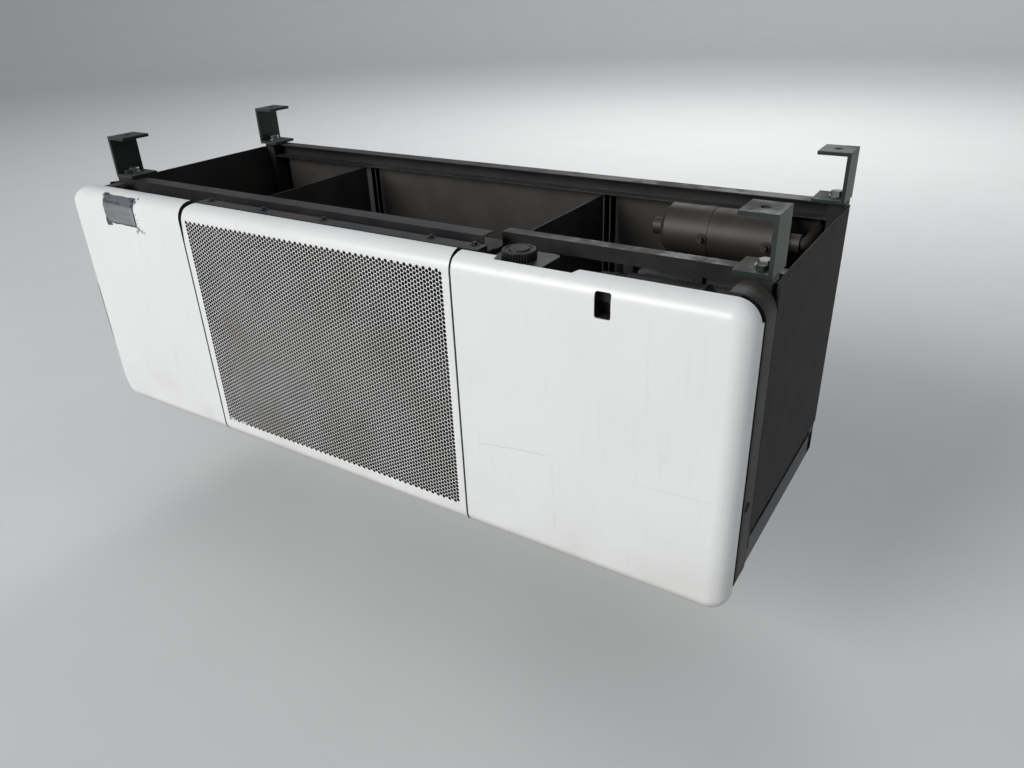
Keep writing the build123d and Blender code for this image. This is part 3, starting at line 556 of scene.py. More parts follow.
def punched_columns(first, last):
    """The sheet between two columns of holes, as one closed mesh."""
    shape = bmesh.new()
    known = {}

    def corner(column, x, z):
        """A cell's corner, which cells share. The outermost ones lie on the field's straight border."""
        if column == 0 and x < 0:
            place = (grille_low.x, z)
        elif column == HOLE_COLUMNS - 1 and x > 0:
            place = (grille_high.x, z)
        else:
            place = (grille_low.x + GRILLE_RIM + (column + 0.5) * across + x, z)
        key = (round(place[0], 5), round(place[1], 5))
        if key not in known:
            known[key] = shape.verts.new((place[0], grille_low.y, place[1]))
        return known[key]

    for i in range(first, last):
        shift = i % 2
        for j in range(HOLE_ROWS - shift):
            x = grille_low.x + GRILLE_RIM + (i + 0.5) * across
            z = grille_low.z + (j + 0.5 + 0.5 * shift) * pitch
            half = pitch / 2
            border = ((cell_wide, 0), (cell_narrow, half), (-cell_narrow, half),
                      (-cell_wide, 0), (-cell_narrow, -half), (cell_narrow, -half))
            border = [corner(i, dx, z + dz) for dx, dz in border]
            ring = []
            for s in range(HOLE_SIDES):
                angle = 2 * math.pi * s / HOLE_SIDES
                hole_x = x + HOLE_R * math.cos(angle)
                hole_z = z + HOLE_R * math.sin(angle)
                ring.append(shape.verts.new((hole_x, grille_low.y, hole_z)))
            for k in range(HEXAGON):
                inner = [ring[(2 * k + n) % HOLE_SIDES] for n in (2, 1, 0)]
                shape.faces.new((border[k], border[(k + 1) % HEXAGON], *inner))
        if shift:
            for end, inwards in ((grille_low.z, pitch / 2), (grille_high.z, -pitch / 2)):
                inner_end = end + inwards
                half_cell = ((-cell_wide, end), (cell_wide, end),
                             (cell_narrow, inner_end), (-cell_narrow, inner_end))
                corners = [corner(i, dx, z) for dx, z in half_cell]
                shape.faces.new(corners if inwards > 0 else corners[::-1])
    shape.normal_update()
    bmesh.ops.solidify(shape, geom=shape.faces[:], thickness=GRILLE_SHEET)
    return shape


def dust_and_hole_wall_shade(look, colour):
    """Lays brown dust on the webs, and painted shade on the holes' walls and the sheet's back."""
    dirt = fade(look, grain(look, 6, detail=5), 0.42, 0.72, 0, 0.35)
    colour = mix(look, dirt, colour, WEB_DUST)
    # Painted shade: every face but the front, that is the holes' walls and the sheet's back, goes dark.
    facing = fade(look, axis_of(look, "Y", kind=FACING), -0.75, -0.35)
    return mix(look, facing, colour, HOLE_WALL_SHADE)


punched_white = cover_paint("punched_white", dust_and_hole_wall_shade)
middle_column = HOLE_COLUMNS // 2
left_half = punched_columns(0, middle_column)
right_half = punched_columns(middle_column, HOLE_COLUMNS)
piece("grille_left_half", left_half, "unit", punched_white, "cover_paint", "condenser_grille")
piece("grille_right_half", right_half, "unit", punched_white, "cover_paint")
print("hole pitch", round(pitch / MM, 2), "mm, columns", round(across / MM, 2), "mm apart")

# %% [markdown]
# ## Tape on the left door
#
# The left door's latch window is taped over with two lengths of grey cloth tape. The tape follows
# the rounded top edge, wrinkles where it goes round it, and is cut crooked. It is laid as a fine
# grid on the cover's side section, then pushed out by smooth random heights for its wrinkles, and
# its border is pulled about a little.

# %% Tape
EDGE_R = 40.0
TAPE_THICK = 0.0003
TAPE_GREY = (0.235, 0.25, 0.25, 1)
TAPE_BLUE = (0.30, 0.31, 0.35, 1)
TAPE_DARK = (0.022, 0.023, 0.028, 1)
TAPE_RIB = (0.16, 0.17, 0.172, 1)
TAPE_SHADOW_BLUE = (0.10, 0.108, 0.13, 1)
# Steps of the tape's grid, across it and down it
TAPE_GRID = (64, 72)
FIRST_SEED = 3.7
# Name, left and right edge, places above and below as lengths down from the top edge, gap from the door
TAPES = (
    ("tape_patch", -789, -670, 27, 103, 0.0003),
    ("tape_strip", -800, -784, 23, 110, 0.0006),
)
# Places and sizes of the dark, gummed corners
TAPE_CORNERS = (
    ((-794, 16, -9), 0.009), ((-782, 15, -9), 0.006), ((-776, 10, -15), 0.005), ((-690, 13, -11), 0.006),
    ((-680, 10, -15), 0.007), ((-679, 3, -27), 0.007), ((-795, 0, -72), 0.007), ((-788, 6, -20), 0.005),
)
round_edge = EDGE_R * math.pi / 2


def down_the_cover(along, length, out):
    """A place on the cover: a length down from where its top edge begins to curve, and out from it."""
    if length < round_edge:
        angle = length / EDGE_R
        back = EDGE_R - (EDGE_R + out / MM) * math.sin(angle)
        return at(along, back, -EDGE_R + (EDGE_R + out / MM) * math.cos(angle))
    return at(along, -out / MM, -EDGE_R - (length - round_edge))


def tape(x0, x1, above, below, gap, seed):
    """A length of tape as a closed thin mesh with wrinkles and crooked borders."""
    shape = bmesh.new()
    across, down = TAPE_GRID
    sheets = []
    for lift in (gap, gap + TAPE_THICK):
        rows = []
        for j in range(down + 1):
            row = []
            for i in range(across + 1):
                u, v = i / across, j / down
                ragged = noise.noise(Vector((u * 7, v * 9, seed))) * 1.6
                along = x0 + (x1 - x0) * u + ragged * (2 * u - 1)
                crooked = noise.noise(Vector((u * 6, seed, v))) * 1.8 * (2 * v - 1)
                length = above + (below - above) * v + crooked
                spot = Vector((along / 26, length / 5, seed))
                wrinkle = max(0.0, noise.noise(spot) + 0.5 * noise.noise(spot * 2.7)) * 0.0006
                row.append(shape.verts.new(down_the_cover(along, length, lift + wrinkle)))
            rows.append(row)
        sheets.append(rows)
    for rows in sheets:
        for upper, lower in zip(rows, rows[1:]):
            for i in range(across):
                shape.faces.new((upper[i], upper[i + 1], lower[i + 1], lower[i]))
    under, over = sheets
    loop = [(0, i) for i in range(across)] + [(j, across) for j in range(down)]
    loop += [(down, i) for i in range(across, 0, -1)] + [(j, 0) for j in range(down, 0, -1)]
    for (a, b), (c, d) in zip(loop, loop[1:] + loop[:1]):
        shape.faces.new((under[a][b], under[c][d], over[c][d], over[a][b]))
    return shape


cloth = finish("grey_cloth_tape", Sheen_Weight=0.15)
tape_x = axis_of(cloth, "X")
tape_z = axis_of(cloth, "Z")
ribs = grain(cloth, 30, detail=5, stretch=(0.35, 1, 3.2))
tape_colour = mix(cloth, fade(cloth, ribs, 0.42, 0.62, 0, 0.55), TAPE_GREY, TAPE_RIB)
blue_band = sums(cloth, "MULTIPLY", fade(cloth, tape_x, at(-692, 0, 0).x, at(-684, 0, 0).x), 0.8)
tape_colour = mix(cloth, blue_band, tape_colour, TAPE_BLUE)
# Painted shadow: over the top bend the tape turns bluish dark, as in shade from above.
painted_shadow_band = fade(cloth, tape_z, at(0, 0, -33).z, at(0, 0, -27).z, 0, 0.75)
tape_colour = mix(cloth, painted_shadow_band, tape_colour, TAPE_SHADOW_BLUE)
bar_begins = fade(cloth, tape_z, at(0, 0, -29).z, at(0, 0, -26).z)
bar_ends = fade(cloth, tape_z, at(0, 0, -24).z, at(0, 0, -21).z, 1, 0)
bar = sums(cloth, "MULTIPLY", bar_begins, bar_ends)
bar = sums(cloth, "MULTIPLY", bar, fade(cloth, grain(cloth, 90, stretch=(0.5, 1, 1)), 0.35, 0.6))
bar = sums(cloth, "MULTIPLY", bar, fade(cloth, tape_x, at(-728, 0, 0).x, at(-720, 0, 0).x, 1, 0.15))
tape_colour = mix(cloth, bar, tape_colour, TAPE_DARK)
for corner, size in TAPE_CORNERS:
    tape_colour = mix(cloth, near_spot(cloth, at(*corner), size), tape_colour, TAPE_DARK)
low_edge = fade(cloth, tape_z, at(0, 0, -77.5).z, at(0, 0, -75.5).z, 0.9, 0)
side_edge = fade(cloth, tape_x, at(-677, 0, 0).x, at(-673.5, 0, 0).x, 0, 0.9)
tape_colour = mix(cloth, sums(cloth, "MAXIMUM", low_edge, side_edge), tape_colour, TAPE_DARK)
smudges = fade(cloth, grain(cloth, 160, detail=5), 0.60, 0.70, 0, 0.6)
tape_colour = mix(cloth, smudges, tape_colour, TAPE_DARK)
weave = step(cloth, "TexChecker", out=VALUE, Vector=place_of(cloth), Scale=2600)
tape_gloss = fade(cloth, ribs, 0.3, 0.7, 0.42, 0.62)
wear(cloth, tape_colour, tape_gloss, sums(cloth, "ADD", ribs, weave), depth=0.0002)
for k, (name, x0, x1, above, below, gap) in enumerate(TAPES):
    stands_for = ["latch_patch"] if name == "tape_patch" else []
    laid = tape(x0, x1, above, below, gap, FIRST_SEED + k)
    piece(name, laid, "left_door", cloth, "patch_tape", *stands_for)

# %% [markdown]
# ## Bare metal, castings and plastics
#
# Behind the covers nearly everything is black: satin chassis paint on folded steel, moulded plastic
# and castings. These dark tones are partly painted shade, standing for the deep shade inside the
# unit, and the near-black coolant tank and the dark muffler most of all. What makes them read as
# different things is dust on the faces that look up, a finer or coarser grain, and how gloss changes.

# %% Finishes of the frame and the machinery
ROAD_DUST = (0.12, 0.11, 0.097, 1)
# Distance behind the hoop, half width, colour and strength of the lines down an end wall: painted shade
# where the wall meets the hoop, then painted highlights along the two folds
WALL_SHADE_AND_HIGHLIGHT_LINES = (
    (3.0, 5.5, (0.004, 0.004, 0.004, 1), 0.9),
    (13.0, 3.0, (0.07, 0.066, 0.06, 1), 0.5),
    (46.0, 9.0, (0.06, 0.056, 0.05, 1), 0.35),
)


def dusty(name, colour, worn, roughness, dust=0.5, grain_scale=60, depth=0.0002, metal=0.0):
    """A finish with two shades, dust that settles on faces that look up, and a fine relief."""
    look = finish(name, Metallic=metal, Specular_IOR_Level=0.5 if metal else 0.28)
    patches = fade(look, grain(look, grain_scale / 6, detail=6), 0.35, 0.70)
    shade = mix(look, patches, colour, worn)
    upward = fade(look, axis_of(look, "Z", kind=FACING), 0.2, 0.95, 0.12, 1)
    settled = fade(look, grain(look, 11, detail=7, rough=0.65), 0.36, 0.68, 0, dust)
    film = sums(look, "MULTIPLY", upward, settled)
    shade = mix(look, film, shade, ROAD_DUST)
    relief = grain(look, grain_scale * 8, detail=3)
    return wear(look, shade, fade(look, film, 0, 0.6, roughness, 0.85), relief, depth, 0.5)


def wall_paint(name, start):
    """An end wall's paint, with a painted shade line where it meets the hoop and painted highlights along
    the two folds behind it.
    """
    look = dusty(name, (0.024, 0.022, 0.019, 1), (0.034, 0.031, 0.026, 1), 0.75, dust=0.15)
    shade = colour_of(look)
    y = axis_of(look, "Y")
    for offset, width, colour, share in WALL_SHADE_AND_HIGHLIGHT_LINES:
        off = sums(look, "ABSOLUTE", sums(look, "SUBTRACT", y, at(0, start + offset, 0).y), 0)
        shade = mix(look, fade(look, off, width * MM * 0.4, width * MM, share, 0), shade, colour)
    return wear(look, shade)


def hoop_paint(name):
    """An end hoop's paint, with painted shade darkening it towards its front edge, in the gap beside the
    door.
    """
    # Painted shade: this brown-grey base is darker than the hoop's own paint.
    look = dusty(name, (0.060, 0.055, 0.048, 1), (0.078, 0.071, 0.062, 1), 0.6, dust=0.15)
    shade = colour_of(look)
    # Painted shade in the gap beside the door, fading back from the hoop's front edge.
    front = fade(look, axis_of(look, "Y"), at(0, 66, 0).y, at(0, 92, 0).y, 0.75, 0)
    return wear(look, mix(look, front, shade, SEAM_SHADE_BLACK))


chassis_black = dusty("chassis_black", (0.016, 0.016, 0.018, 1), (0.028, 0.027, 0.027, 1), 0.38)
hoop_brown = dusty("hoop_brown_grey", (0.042, 0.039, 0.036, 1), (0.056, 0.052, 0.047, 1), 0.5, dust=0.15)
left_wall = wall_paint("left_wall_paint", 110)
right_wall = wall_paint("right_wall_paint", 127)
hanger_green = dusty("hanger_green_black", (0.018, 0.026, 0.023, 1), (0.03, 0.042, 0.036, 1), 0.40)
black_moulding = dusty("black_moulding", (0.012, 0.012, 0.013, 1), (0.022, 0.022, 0.024, 1), 0.5,
                       grain_scale=90)
zinc = dusty("zinc_plate", (0.30, 0.30, 0.29, 1), (0.20, 0.195, 0.185, 1), 0.42, dust=0.35, metal=1.0)
cast_iron = dusty("painted_casting", (0.028, 0.029, 0.03, 1), (0.045, 0.043, 0.04, 1), 0.5,
                  grain_scale=30, depth=0.0008)
tank_black = dusty("tank_black_gloss", (0.016, 0.016, 0.017, 1), (0.024, 0.023, 0.023, 1), 0.28)
box_grey = dusty("box_grey", (0.11, 0.112, 0.115, 1), (0.14, 0.14, 0.138, 1), 0.45)
case_black = dusty("battery_case", (0.014, 0.014, 0.016, 1), (0.022, 0.022, 0.022, 1), 0.42, dust=0.7)
# Painted shade: the coolant tank is near black, for the deep shade inside the unit.
coolant_tank = dusty("coolant_tank", (0.020, 0.021, 0.022, 1), (0.03, 0.03, 0.03, 1), 0.35, dust=0.35)
# Partly heat staining, partly painted shade: the muffler is kept dark for the shade inside the unit.
hot_steel = dusty("heat_stained_steel", (0.055, 0.050, 0.046, 1), (0.075, 0.060, 0.048, 1), 0.55, metal=0.6)

dress(chassis_black, "front_lower_rail", "rear_lower_rail", "front_upper_rail", "rear_upper_rail",
      "engine_bay_rail", "engine_bay_tie", "cross_members", "left_posts", "right_posts",
      "coil_top_rail", bevel=0.0005)
dress(chassis_black, "left_fan_motor", "right_fan_motor", "battery_tray", bevel=0.0005)
dress(chassis_black, "left_bulkhead", "right_bulkhead", "left_floor_pan", "right_floor_pan", "cover_straps",
      "tank_shelf")
dress(hoop_paint("end_hoop_paint"), "left_end_hoop", "right_end_hoop")
dress(left_wall, "left_end_panel")
dress(right_wall, "right_end_panel")
dress(hoop_brown, "left_rear_panel", "centre_rear_panel", "right_rear_panel")
dress(hanger_green, "left_front_hanger", "left_rear_hanger", "right_front_hanger",
      "right_rear_hanger", bevel=0.0008)
dress(black_moulding, "left_latch", "right_latch", "hanger_pads", "fan_shroud", "left_fan",
      "right_fan", "left_fan_ring", "right_fan_ring", "air_filter")
dress(zinc, "left_hinge_brackets", "right_hinge_brackets")
dress(cast_iron, "engine", "compressor")
dress(tank_black, "receiver_tank")
dress(box_grey, "control_box")
dress(case_black, "battery")
dress(coolant_tank, "expansion_tank")
dress(hot_steel, "muffler")

# %% [markdown]
# ## Condenser and radiator
#
# Both are blocks of thin upright aluminium fins on copper tubes. Through the grille they show as a
# dull, brownish dark field, crossed by the four darker tube plates that divide the coil. The fins
# are drawn by a fine wave across the block, whose dark troughs are painted shade in the gaps
# between the fins.

# %% Fins
FIN_PITCH = 0.0021
FIN_GAP_SHADE = (0.003, 0.003, 0.003, 1)
FIN_EDGE = (0.022, 0.020, 0.018, 1)
FIN_DIRT = (0.020, 0.017, 0.013, 1)
PLATE_BLACK = (0.002, 0.002, 0.002, 1)
# Places along the truck of the coil's dividing plates
TUBE_PLATES = (-326, -142, 2, 181)
fins = finish("dusty_fins", Metallic=0.35, Roughness=0.6)
comb = step(fins, "TexWave", out=VALUE, settings={"bands_direction": "X"}, Vector=place_of(fins),
            Scale=math.pi / (10 * FIN_PITCH), Distortion=0.4)
# Painted shade: the wave's dark troughs stand for the shade in the gaps between the fins.
fin_colour = mix(fins, comb, FIN_GAP_SHADE, FIN_EDGE)
fin_dirt = fade(fins, grain(fins, 9, detail=6), 0.4, 0.7, 0, 0.7)
fin_colour = mix(fins, fin_dirt, fin_colour, FIN_DIRT)
fin_x = axis_of(fins, "X")
for along in TUBE_PLATES:
    off = sums(fins, "ABSOLUTE", sums(fins, "SUBTRACT", fin_x, at(along, 0, 0).x), 0)
    fin_colour = mix(fins, fade(fins, off, 0.004, 0.008, 0.95, 0), fin_colour, PLATE_BLACK)
wear(fins, fin_colour, None, comb, depth=0.001)
dress(fins, "condenser_coil", "radiator_core")

# %% [markdown]
# ## Edge strip
#
# A narrow strip stands beside the left door. It is dull grey over most of its length, whiter
# towards its lower end.

# %% Edge strip
STRIP_GREY = (0.30, 0.30, 0.29, 1)
STRIP_WHITE = (0.62, 0.62, 0.60, 1)
STRIP_STAIN = (0.16, 0.155, 0.15, 1)
strip = finish("edge_strip_grey", Roughness=0.5, Metallic=0.2)
strip_z = axis_of(strip, "Z")
white_end = fade(strip, strip_z, at(0, 0, -470).z, at(0, 0, -420).z, 0.9, 0)
strip_colour = mix(strip, white_end, STRIP_GREY, STRIP_WHITE)
stains = fade(strip, grain(strip, 30, stretch=(1, 1, 0.2)), 0.5, 0.7, 0, 0.6)
strip_colour = mix(strip, stains, strip_colour, STRIP_STAIN)
wear(strip, strip_colour, None, grain(strip, 300), depth=0.0002)
dress(strip, "left_edge_strip", bevel=0.0004)

# %% [markdown]
# ## Filler cap
#
# The coolant filler has a moulded screw cap with a ring of grip teeth, a step and a shallow dome.
# It is a turned outline whose widest radius rises and falls with the teeth.

# %% Filler cap
CAP_TEETH = 40
cap_low, cap_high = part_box("filler_cap")
cap_r = (cap_high.x - cap_low.x) / 2
cap_h = cap_high.z - cap_low.z
cap_place = Vector(((cap_low.x + cap_high.x) / 2, (cap_low.y + cap_high.y) / 2, cap_low.z))


def grip(side, radius, height):
    """Four sides make one tooth, on the widest part of the cap only."""
    if radius < cap_r * 0.9:
        return 1.0
    return 0.955 if side % 4 in (0, 3) else 1.0


cap = bmesh.new()
outline = ((0, 0), (cap_r * 0.97, 0), (cap_r, 0.001), (cap_r, cap_h * 0.72), (cap_r * 0.96, cap_h * 0.80),
           (cap_r * 0.80, cap_h * 0.82), (cap_r * 0.77, cap_h * 0.74), (cap_r * 0.62, cap_h * 0.74),
           (cap_r * 0.58, cap_h * 0.90), (cap_r * 0.30, cap_h * 0.97), (0, cap_h))
turned(cap, outline, CAP_TEETH * 4, cap_place, teeth=grip)
piece("ribbed_filler_cap", cap, "unit", black_moulding, "black_plastic", "filler_cap")

# %% [markdown]
# ## Bolts
#
# Zinc-plated bolts hold the hangers' feet, and small black ones the coil's top rail. Each is a
# hexagon head on a washer.

# %% Bolts
FOOT_BOLT_BACK = (168, 688)
bolts = bmesh.new()
for side in (-1, 1):
    for back in FOOT_BOLT_BACK:
        bolt(bolts, at(side * 890, back, 8), (0, 0, 1), across=0.024, head=0.0105, washer=0.25)
piece("hanger_bolts", bolts, "unit", zinc, "bright_steel")

rail_bolts = bmesh.new()
for along in (-440, -253, -60, 242, 350):
    bolt(rail_bolts, at(along, 70, -2), (0, 0, 1), across=0.010, head=0.005)
piece("rail_bolts", rail_bolts, "unit", black_moulding, "frame_paint")

# %% [markdown]
# ## Joint strips, rivets and the clip
#
# The rear sheets and the end walls are riveted to the frame. A pressed strip covers each upright
# joint of the rear sheets. A small black spring clip sits on the right end hoop, where the
# photograph shows one.

# %% Helpers for beads and rivets
UPWARD = Vector((0, 0, 1))
BACKWARD = Vector((0, 1, 0))
RIGHTWARD = Vector((1, 0, 0))


def rib(shape, start, end, out, wide, high):
    """A long raised bead with sloping ends, between two places on a flat face that looks along out."""
    along = (end - start).normalized()
    across = along.cross(out).normalized()
    section = ((-0.5, 0), (-0.42, 0.7), (-0.25, 1), (0.25, 1), (0.42, 0.7), (0.5, 0))
    stations = ((start, 0.3), (start + along * high, 1), (end - along * high, 1), (end, 0.3))
    rows = []
    for place, rise in stations:
        row = []
        for u, v in section:
            row.append(shape.verts.new(place + across * u * wide + out * v * high * rise))
        rows.append(row)
    for near, far in zip(rows, rows[1:]):
        for k in range(len(section)):
            shape.faces.new((near[k - 1], near[k], far[k], far[k - 1]))
    shape.faces.new(rows[0])
    shape.faces.new(rows[-1])


def rivet(shape, place, axis, radius=0.0042, high=0.0018):
    """A low domed rivet head."""
    dome = ((0, 0), (radius, 0), (radius * 0.9, high * 0.55), (radius * 0.5, high * 0.92), (0, high))
    turned(shape, dome, 12, place, axis)


print("helpers ready")

# %% Joint strips and rivets
REAR_FACE = 710
END_FACE = 918
HOOP_FACE = 929.5
JOINTS = (-877.75, -480.25, 330.25, 877.75)
STRIP_WIDE = 0.034
STRIP_HIGH = 0.0045
STRIP_ENDS = (-582, -8)
STRIP_RIVETS = range(-40, -580, -75)
EDGE_RIVETS = range(-840, 880, 70)
WALL_RIVETS = range(170, 700, 65)

strips = bmesh.new()
rivets = bmesh.new()
for joint in JOINTS:
    low, high = [at(joint, REAR_FACE - 2, up) for up in STRIP_ENDS]
    rib(strips, low, high, BACKWARD, STRIP_WIDE, STRIP_HIGH)
    for up in STRIP_RIVETS:
        for side in (-11, 11):
            rivet(rivets, at(joint + side, REAR_FACE + 1.7, up), BACKWARD)
for along in EDGE_RIVETS:
    if min(abs(along - joint) for joint in JOINTS) > 25:
        rivet(rivets, at(along, REAR_FACE, -22), BACKWARD)
for side in (-1, 1):
    for back in WALL_RIVETS:
        for up in (-27, -548):
            rivet(rivets, at(side * END_FACE, back, up), RIGHTWARD * side)
piece("rear_joint_strips", strips, "unit", hoop_brown, "hoop_paint")
piece("sheet_rivets", rivets, "unit", hoop_brown, "hoop_paint")

clip = bmesh.new()
for foot in (at(HOOP_FACE, 80, -441), at(HOOP_FACE, 119, -450)):
    rib(clip, at(HOOP_FACE, 93, -428), foot, RIGHTWARD, 0.0042, 0.0033)
rivet(clip, at(HOOP_FACE, 93, -429), RIGHTWARD, 0.0036, 0.0037)
piece("hoop_clip", clip, "unit", black_moulding, "black_plastic")

# %% [markdown]
# ## Foam seals
#
# Black foam closes the gaps round the coil, so that all the air comes in through the grille. It
# stands on the front edges of the two bulkheads and lies under the coil. Its black is also painted
# shade: it stands for the shade in these gaps, which would otherwise show the lit floor.

# %% Foam seals
COIL_ENDS = (-475, 325)
foam_black = dusty("foam_black", (0.010, 0.010, 0.010, 1), (0.018, 0.017, 0.017, 1), 0.8, dust=0.2,
                   grain_scale=200)
# Black foam, also a dark stand-in for the shade in the gaps round the coil
seals = bmesh.new()
for along in COIL_ENDS:
    rib(seals, at(along, 47, -622), at(along, 47, -38), -BACKWARD, 0.013, 0.043)
rib(seals, at(COIL_ENDS[0], 64, -644), at(COIL_ENDS[1], 64, -644), UPWARD, 0.044, 0.021)
piece("foam_seals", seals, "unit", foam_black, "black_plastic")

# %% [markdown]
# ## Refrigerant lines
#
# Copper tubes join the compressor, the condenser, the receiver and the rear sheet, where they leave
# the unit. Each runs straight from point to point and is bent round its corners in arcs, with a
# union nut at each end.

# %% Helpers for pipes
BEND_STEPS = 7
PIPE_SIDES = 16


def route(points, bend):
    """Places along a line of straights whose corners are rounded off by arcs of the given radius."""
    path = [points[0]]
    for before, here, after in zip(points, points[1:], points[2:]):
        arrive = (here - before).normalized()
        leave = (after - here).normalized()
        whole = arrive.angle(leave)
        half = whole / 2
        reach = min(bend * math.tan(half), (here - before).length * 0.49, (after - here).length * 0.49)
        middle = here + (leave - arrive).normalized() * reach / math.sin(half)
        start = here - arrive * reach - middle
        end = here + leave * reach - middle
        for k in range(BEND_STEPS + 1):
            share = k / BEND_STEPS
            arc = start * math.sin((1 - share) * whole) + end * math.sin(share * whole)
            path.append(middle + arc / math.sin(whole))
    path.append(points[-1])
    return path


def pipe(shape, points, radius, bend):
    """A round pipe through (along, back, up) points. Radius and bend are in millimetres."""
    path = route([at(*point) for point in points], bend * MM)
    side = (path[1] - path[0]).orthogonal()
    rings = []
    for k, place in enumerate(path):
        ahead = (path[min(k + 1, len(path) - 1)] - path[max(k - 1, 0)]).normalized()
        side = (side - ahead * side.dot(ahead)).normalized()
        other = ahead.cross(side)
        ring = []
        for s in range(PIPE_SIDES):
            angle = 2 * math.pi * s / PIPE_SIDES
            outwards = side * math.cos(angle) + other * math.sin(angle)
            ring.append(shape.verts.new(place + outwards * radius * MM))
        rings.append(ring)
    for near, far in zip(rings, rings[1:]):
        for s in range(PIPE_SIDES):
            shape.faces.new((near[s - 1], near[s], far[s], far[s - 1]))
    shape.faces.new(rings[0])
    shape.faces.new(rings[-1])


print("helpers ready")

# %% Refrigerant lines
copper = dusty("dull_copper", (0.24, 0.115, 0.07, 1), (0.13, 0.07, 0.05, 1), 0.45, dust=0.3,
               grain_scale=90, metal=0.9)
LINE_BEND = 22
# Radius and points of each line
LINES = (
    (6, ((400, 410, -302), (400, 410, -215), (352, 410, -215), (352, 112, -215), (329, 112, -215))),
    (6, ((-480, 110, -150), (-512, 110, -150), (-512, 480, -150), (-580, 510, -150), (-580, 510, -212))),
    (6, ((-610, 530, -212), (-610, 530, -165), (-610, 709, -165))),
    (11, ((440, 450, -298), (440, 450, -235), (440, 709, -235))),
)
# Place, axis and width of each union nut
UNIONS = (
    ((400, 410, -300), UPWARD, 22), ((440, 450, -300), UPWARD, 28), ((-580, 510, -210), UPWARD, 20),
    ((-610, 530, -210), UPWARD, 20), ((-610, 710, -165), BACKWARD, 22), ((440, 710, -235), BACKWARD, 30),
    ((330.25, 112, -215), RIGHTWARD, 20), ((-480.25, 110, -150), -RIGHTWARD, 20),
)
lines = bmesh.new()
for radius, points in LINES:
    pipe(lines, points, radius, LINE_BEND)
piece("copper_lines", lines, "unit", copper, "bright_steel")
unions = bmesh.new()
for place, axis, width in UNIONS:
    bolt(unions, at(*place), axis, across=width * MM, head=0.012, washer=0.1)
piece("union_nuts", unions, "unit", zinc, "bright_steel")

# %% [markdown]
# ## Small parts of the machinery
#
# The engine, battery, box and motors are plain blocks and drums in the CAD model. Beads, caps, bolt
# heads, a fluted filter end and the ridges of the pulley make them read as what they are.

# %% Engine and compressor
COVER_TOP = -145
# How far back each bead on the engine's top cover lies, and where it begins
COVER_BEADS = ((375, 610), (430, 556), (485, 556))
COVER_BEAD_END = 772
SHAFT_BACK = 430
SHAFT_UP = -400
CASE_FRONT = 262
CASE_REAR = 2 * SHAFT_BACK - CASE_FRONT
CASE_BEADS = (528, 584, 690, 742, 794)
CASE_BEAD_LOW = -455
CASE_BEAD_HIGH = -265
PULLEY_X = 817
PULLEY_R = 0.0752
PULLEY_WIDE = 0.0260
PULLEY_GROOVES = 5
GROOVE_PITCH = 0.0055
GROOVE_R = PULLEY_R - 0.003
COMPRESSOR_FACE = 354
FLANGE_R = 0.058

engine_trim = bmesh.new()
for back, begin in COVER_BEADS:
    start = at(begin, back, COVER_TOP)
    rib(engine_trim, start, at(COVER_BEAD_END, back, COVER_TOP), UPWARD, 0.016, 0.006)
for along in CASE_BEADS:
    for back, out in ((CASE_FRONT, -BACKWARD), (CASE_REAR, BACKWARD)):
        low, high = at(along, back, CASE_BEAD_LOW), at(along, back, CASE_BEAD_HIGH)
        rib(engine_trim, low, high, out, 0.012, 0.007)
for along in (550, 660, 770):
    for back in (343, 517):
        bolt(engine_trim, at(along, back, COVER_TOP), UPWARD, across=0.010, head=0.006)
grooves = [(0, 0)]
for k in range(PULLEY_GROOVES):
    begin = GROOVE_PITCH * k
    grooves += [(PULLEY_R, begin), (PULLEY_R, begin + 0.002), (GROOVE_R, begin + 0.0038)]
grooves += [(GROOVE_R, PULLEY_WIDE), (0, PULLEY_WIDE)]
turned(engine_trim, grooves, 48, at(PULLEY_X, SHAFT_BACK, SHAFT_UP), RIGHTWARD)
bolt(engine_trim, at(845, SHAFT_BACK, SHAFT_UP), RIGHTWARD, across=0.030, head=0.014)
for k in range(6):
    angle = math.pi / 3 * k
    spot = Vector((0, math.cos(angle), math.sin(angle))) * FLANGE_R
    flange = at(COMPRESSOR_FACE, SHAFT_BACK, SHAFT_UP)
    bolt(engine_trim, flange + spot, -RIGHTWARD, across=0.012, head=0.008)
piece("engine_trim", engine_trim, "unit", cast_iron, "engine_iron")


def flutes(side, radius, height):
    """Two sides in every five are set in a little, as on a filter's end or a screw cap."""
    return 0.965 if side % 5 < 2 else 1.0


# Place along the truck and radius of each band round the air filter
FILTER_BANDS = ((600, 0.0575), (780, 0.0635))
caps = bmesh.new()
filter_end = ((0, 0), (0.030, 0), (0.0372, 0.006), (0.0372, 0.022), (0, 0.022))
turned(caps, filter_end, 70, at(640, 203, -400), BACKWARD, teeth=flutes)
oil_cap = ((0, 0), (0.019, 0), (0.019, 0.011), (0.015, 0.014), (0.008, 0.014), (0.007, 0.017), (0, 0.017))
turned(caps, oil_cap, 50, at(578, 375, COVER_TOP), UPWARD, teeth=flutes)
for along, radius in FILTER_BANDS:
    disk(caps, radius, 0.010, 48, at(along, 170, -110), RIGHTWARD)
piece("filters_and_caps", caps, "unit", black_moulding, "black_plastic")

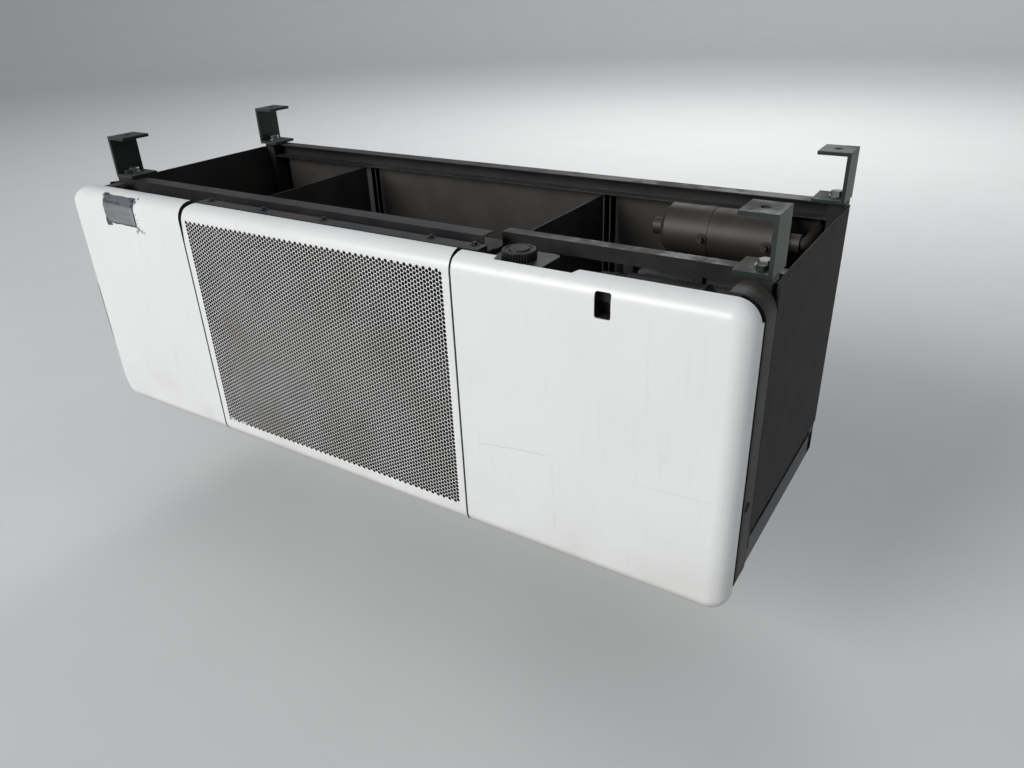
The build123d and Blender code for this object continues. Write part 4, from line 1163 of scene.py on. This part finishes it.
# %% Muffler
MUFFLER_BACK = 590
MUFFLER_UP = -78
BAND_R = 0.0592
BAND_WIDE = 0.022
TAIL_PIPE = ((838, MUFFLER_BACK, MUFFLER_UP), (860, MUFFLER_BACK, MUFFLER_UP), (860, 716, MUFFLER_UP))
TAIL_FLANGE = ((0, 0), (0.026, 0), (0.026, 0.004), (0.0165, 0.005), (0.0165, 0.014), (0, 0.014))
bands = bmesh.new()
for along in (645, 790):
    disk(bands, BAND_R, BAND_WIDE, 48, at(along - 11, MUFFLER_BACK, MUFFLER_UP), RIGHTWARD)
    bolt(bands, at(along, MUFFLER_BACK - 59, MUFFLER_UP), -BACKWARD, across=0.012, head=0.010)
pipe(bands, TAIL_PIPE, 14, 20)
turned(bands, TAIL_FLANGE, 24, at(860, REAR_FACE, MUFFLER_UP), BACKWARD)
piece("muffler_bands", bands, "unit", hot_steel, "muffler_steel")

# %% Battery, control box and fan motors
LID_TOP = -362
CLAMP_X = -745
FAN_SHAFTS = (-272, 124)
VENT = ((0, 0), (0.011, 0), (0.011, 0.003), (0.008, 0.005), (0, 0.005))
TERMINAL = ((0, 0), (0.0125, 0), (0.0125, 0.009), (0.0085, 0.011), (0, 0.011))
battery_trim = bmesh.new()
for k in range(6):
    turned(battery_trim, VENT, 24, at(-825 + 32 * k, 268, LID_TOP), UPWARD)
for back in (238, 298):
    rib(battery_trim, at(-862, back, LID_TOP), at(-628, back, LID_TOP), UPWARD, 0.008, 0.003)
piece("battery_trim", battery_trim, "unit", case_black, "battery_case")

fasteners = bmesh.new()
rib(fasteners, at(CLAMP_X, 136, LID_TOP), at(CLAMP_X, 339, LID_TOP), UPWARD, 0.026, 0.005)
for back in (141, 334):
    pipe(fasteners, ((CLAMP_X, back, -574), (CLAMP_X, back, -346)), 3, 1)
    bolt(fasteners, at(CLAMP_X, back, LID_TOP + 5), UPWARD, across=0.013, head=0.008)
for along in (-835, -655):
    turned(fasteners, TERMINAL, 24, at(along, 175, LID_TOP + 2), UPWARD)
for along in (-594, -491):
    for up in (-264, -405, -546):
        bolt(fasteners, at(along, 139, up), -BACKWARD, across=0.009, head=0.004, washer=0.2)
for along in FAN_SHAFTS:
    for k in range(4):
        angle = math.pi / 2 * k + math.pi / 4
        spot = RIGHTWARD * math.cos(angle) + UPWARD * math.sin(angle)
        bolt(fasteners, at(along, 377, -312) + spot * 0.030, BACKWARD, across=0.008, head=0.006)
piece("fasteners", fasteners, "unit", zinc, "bright_steel")
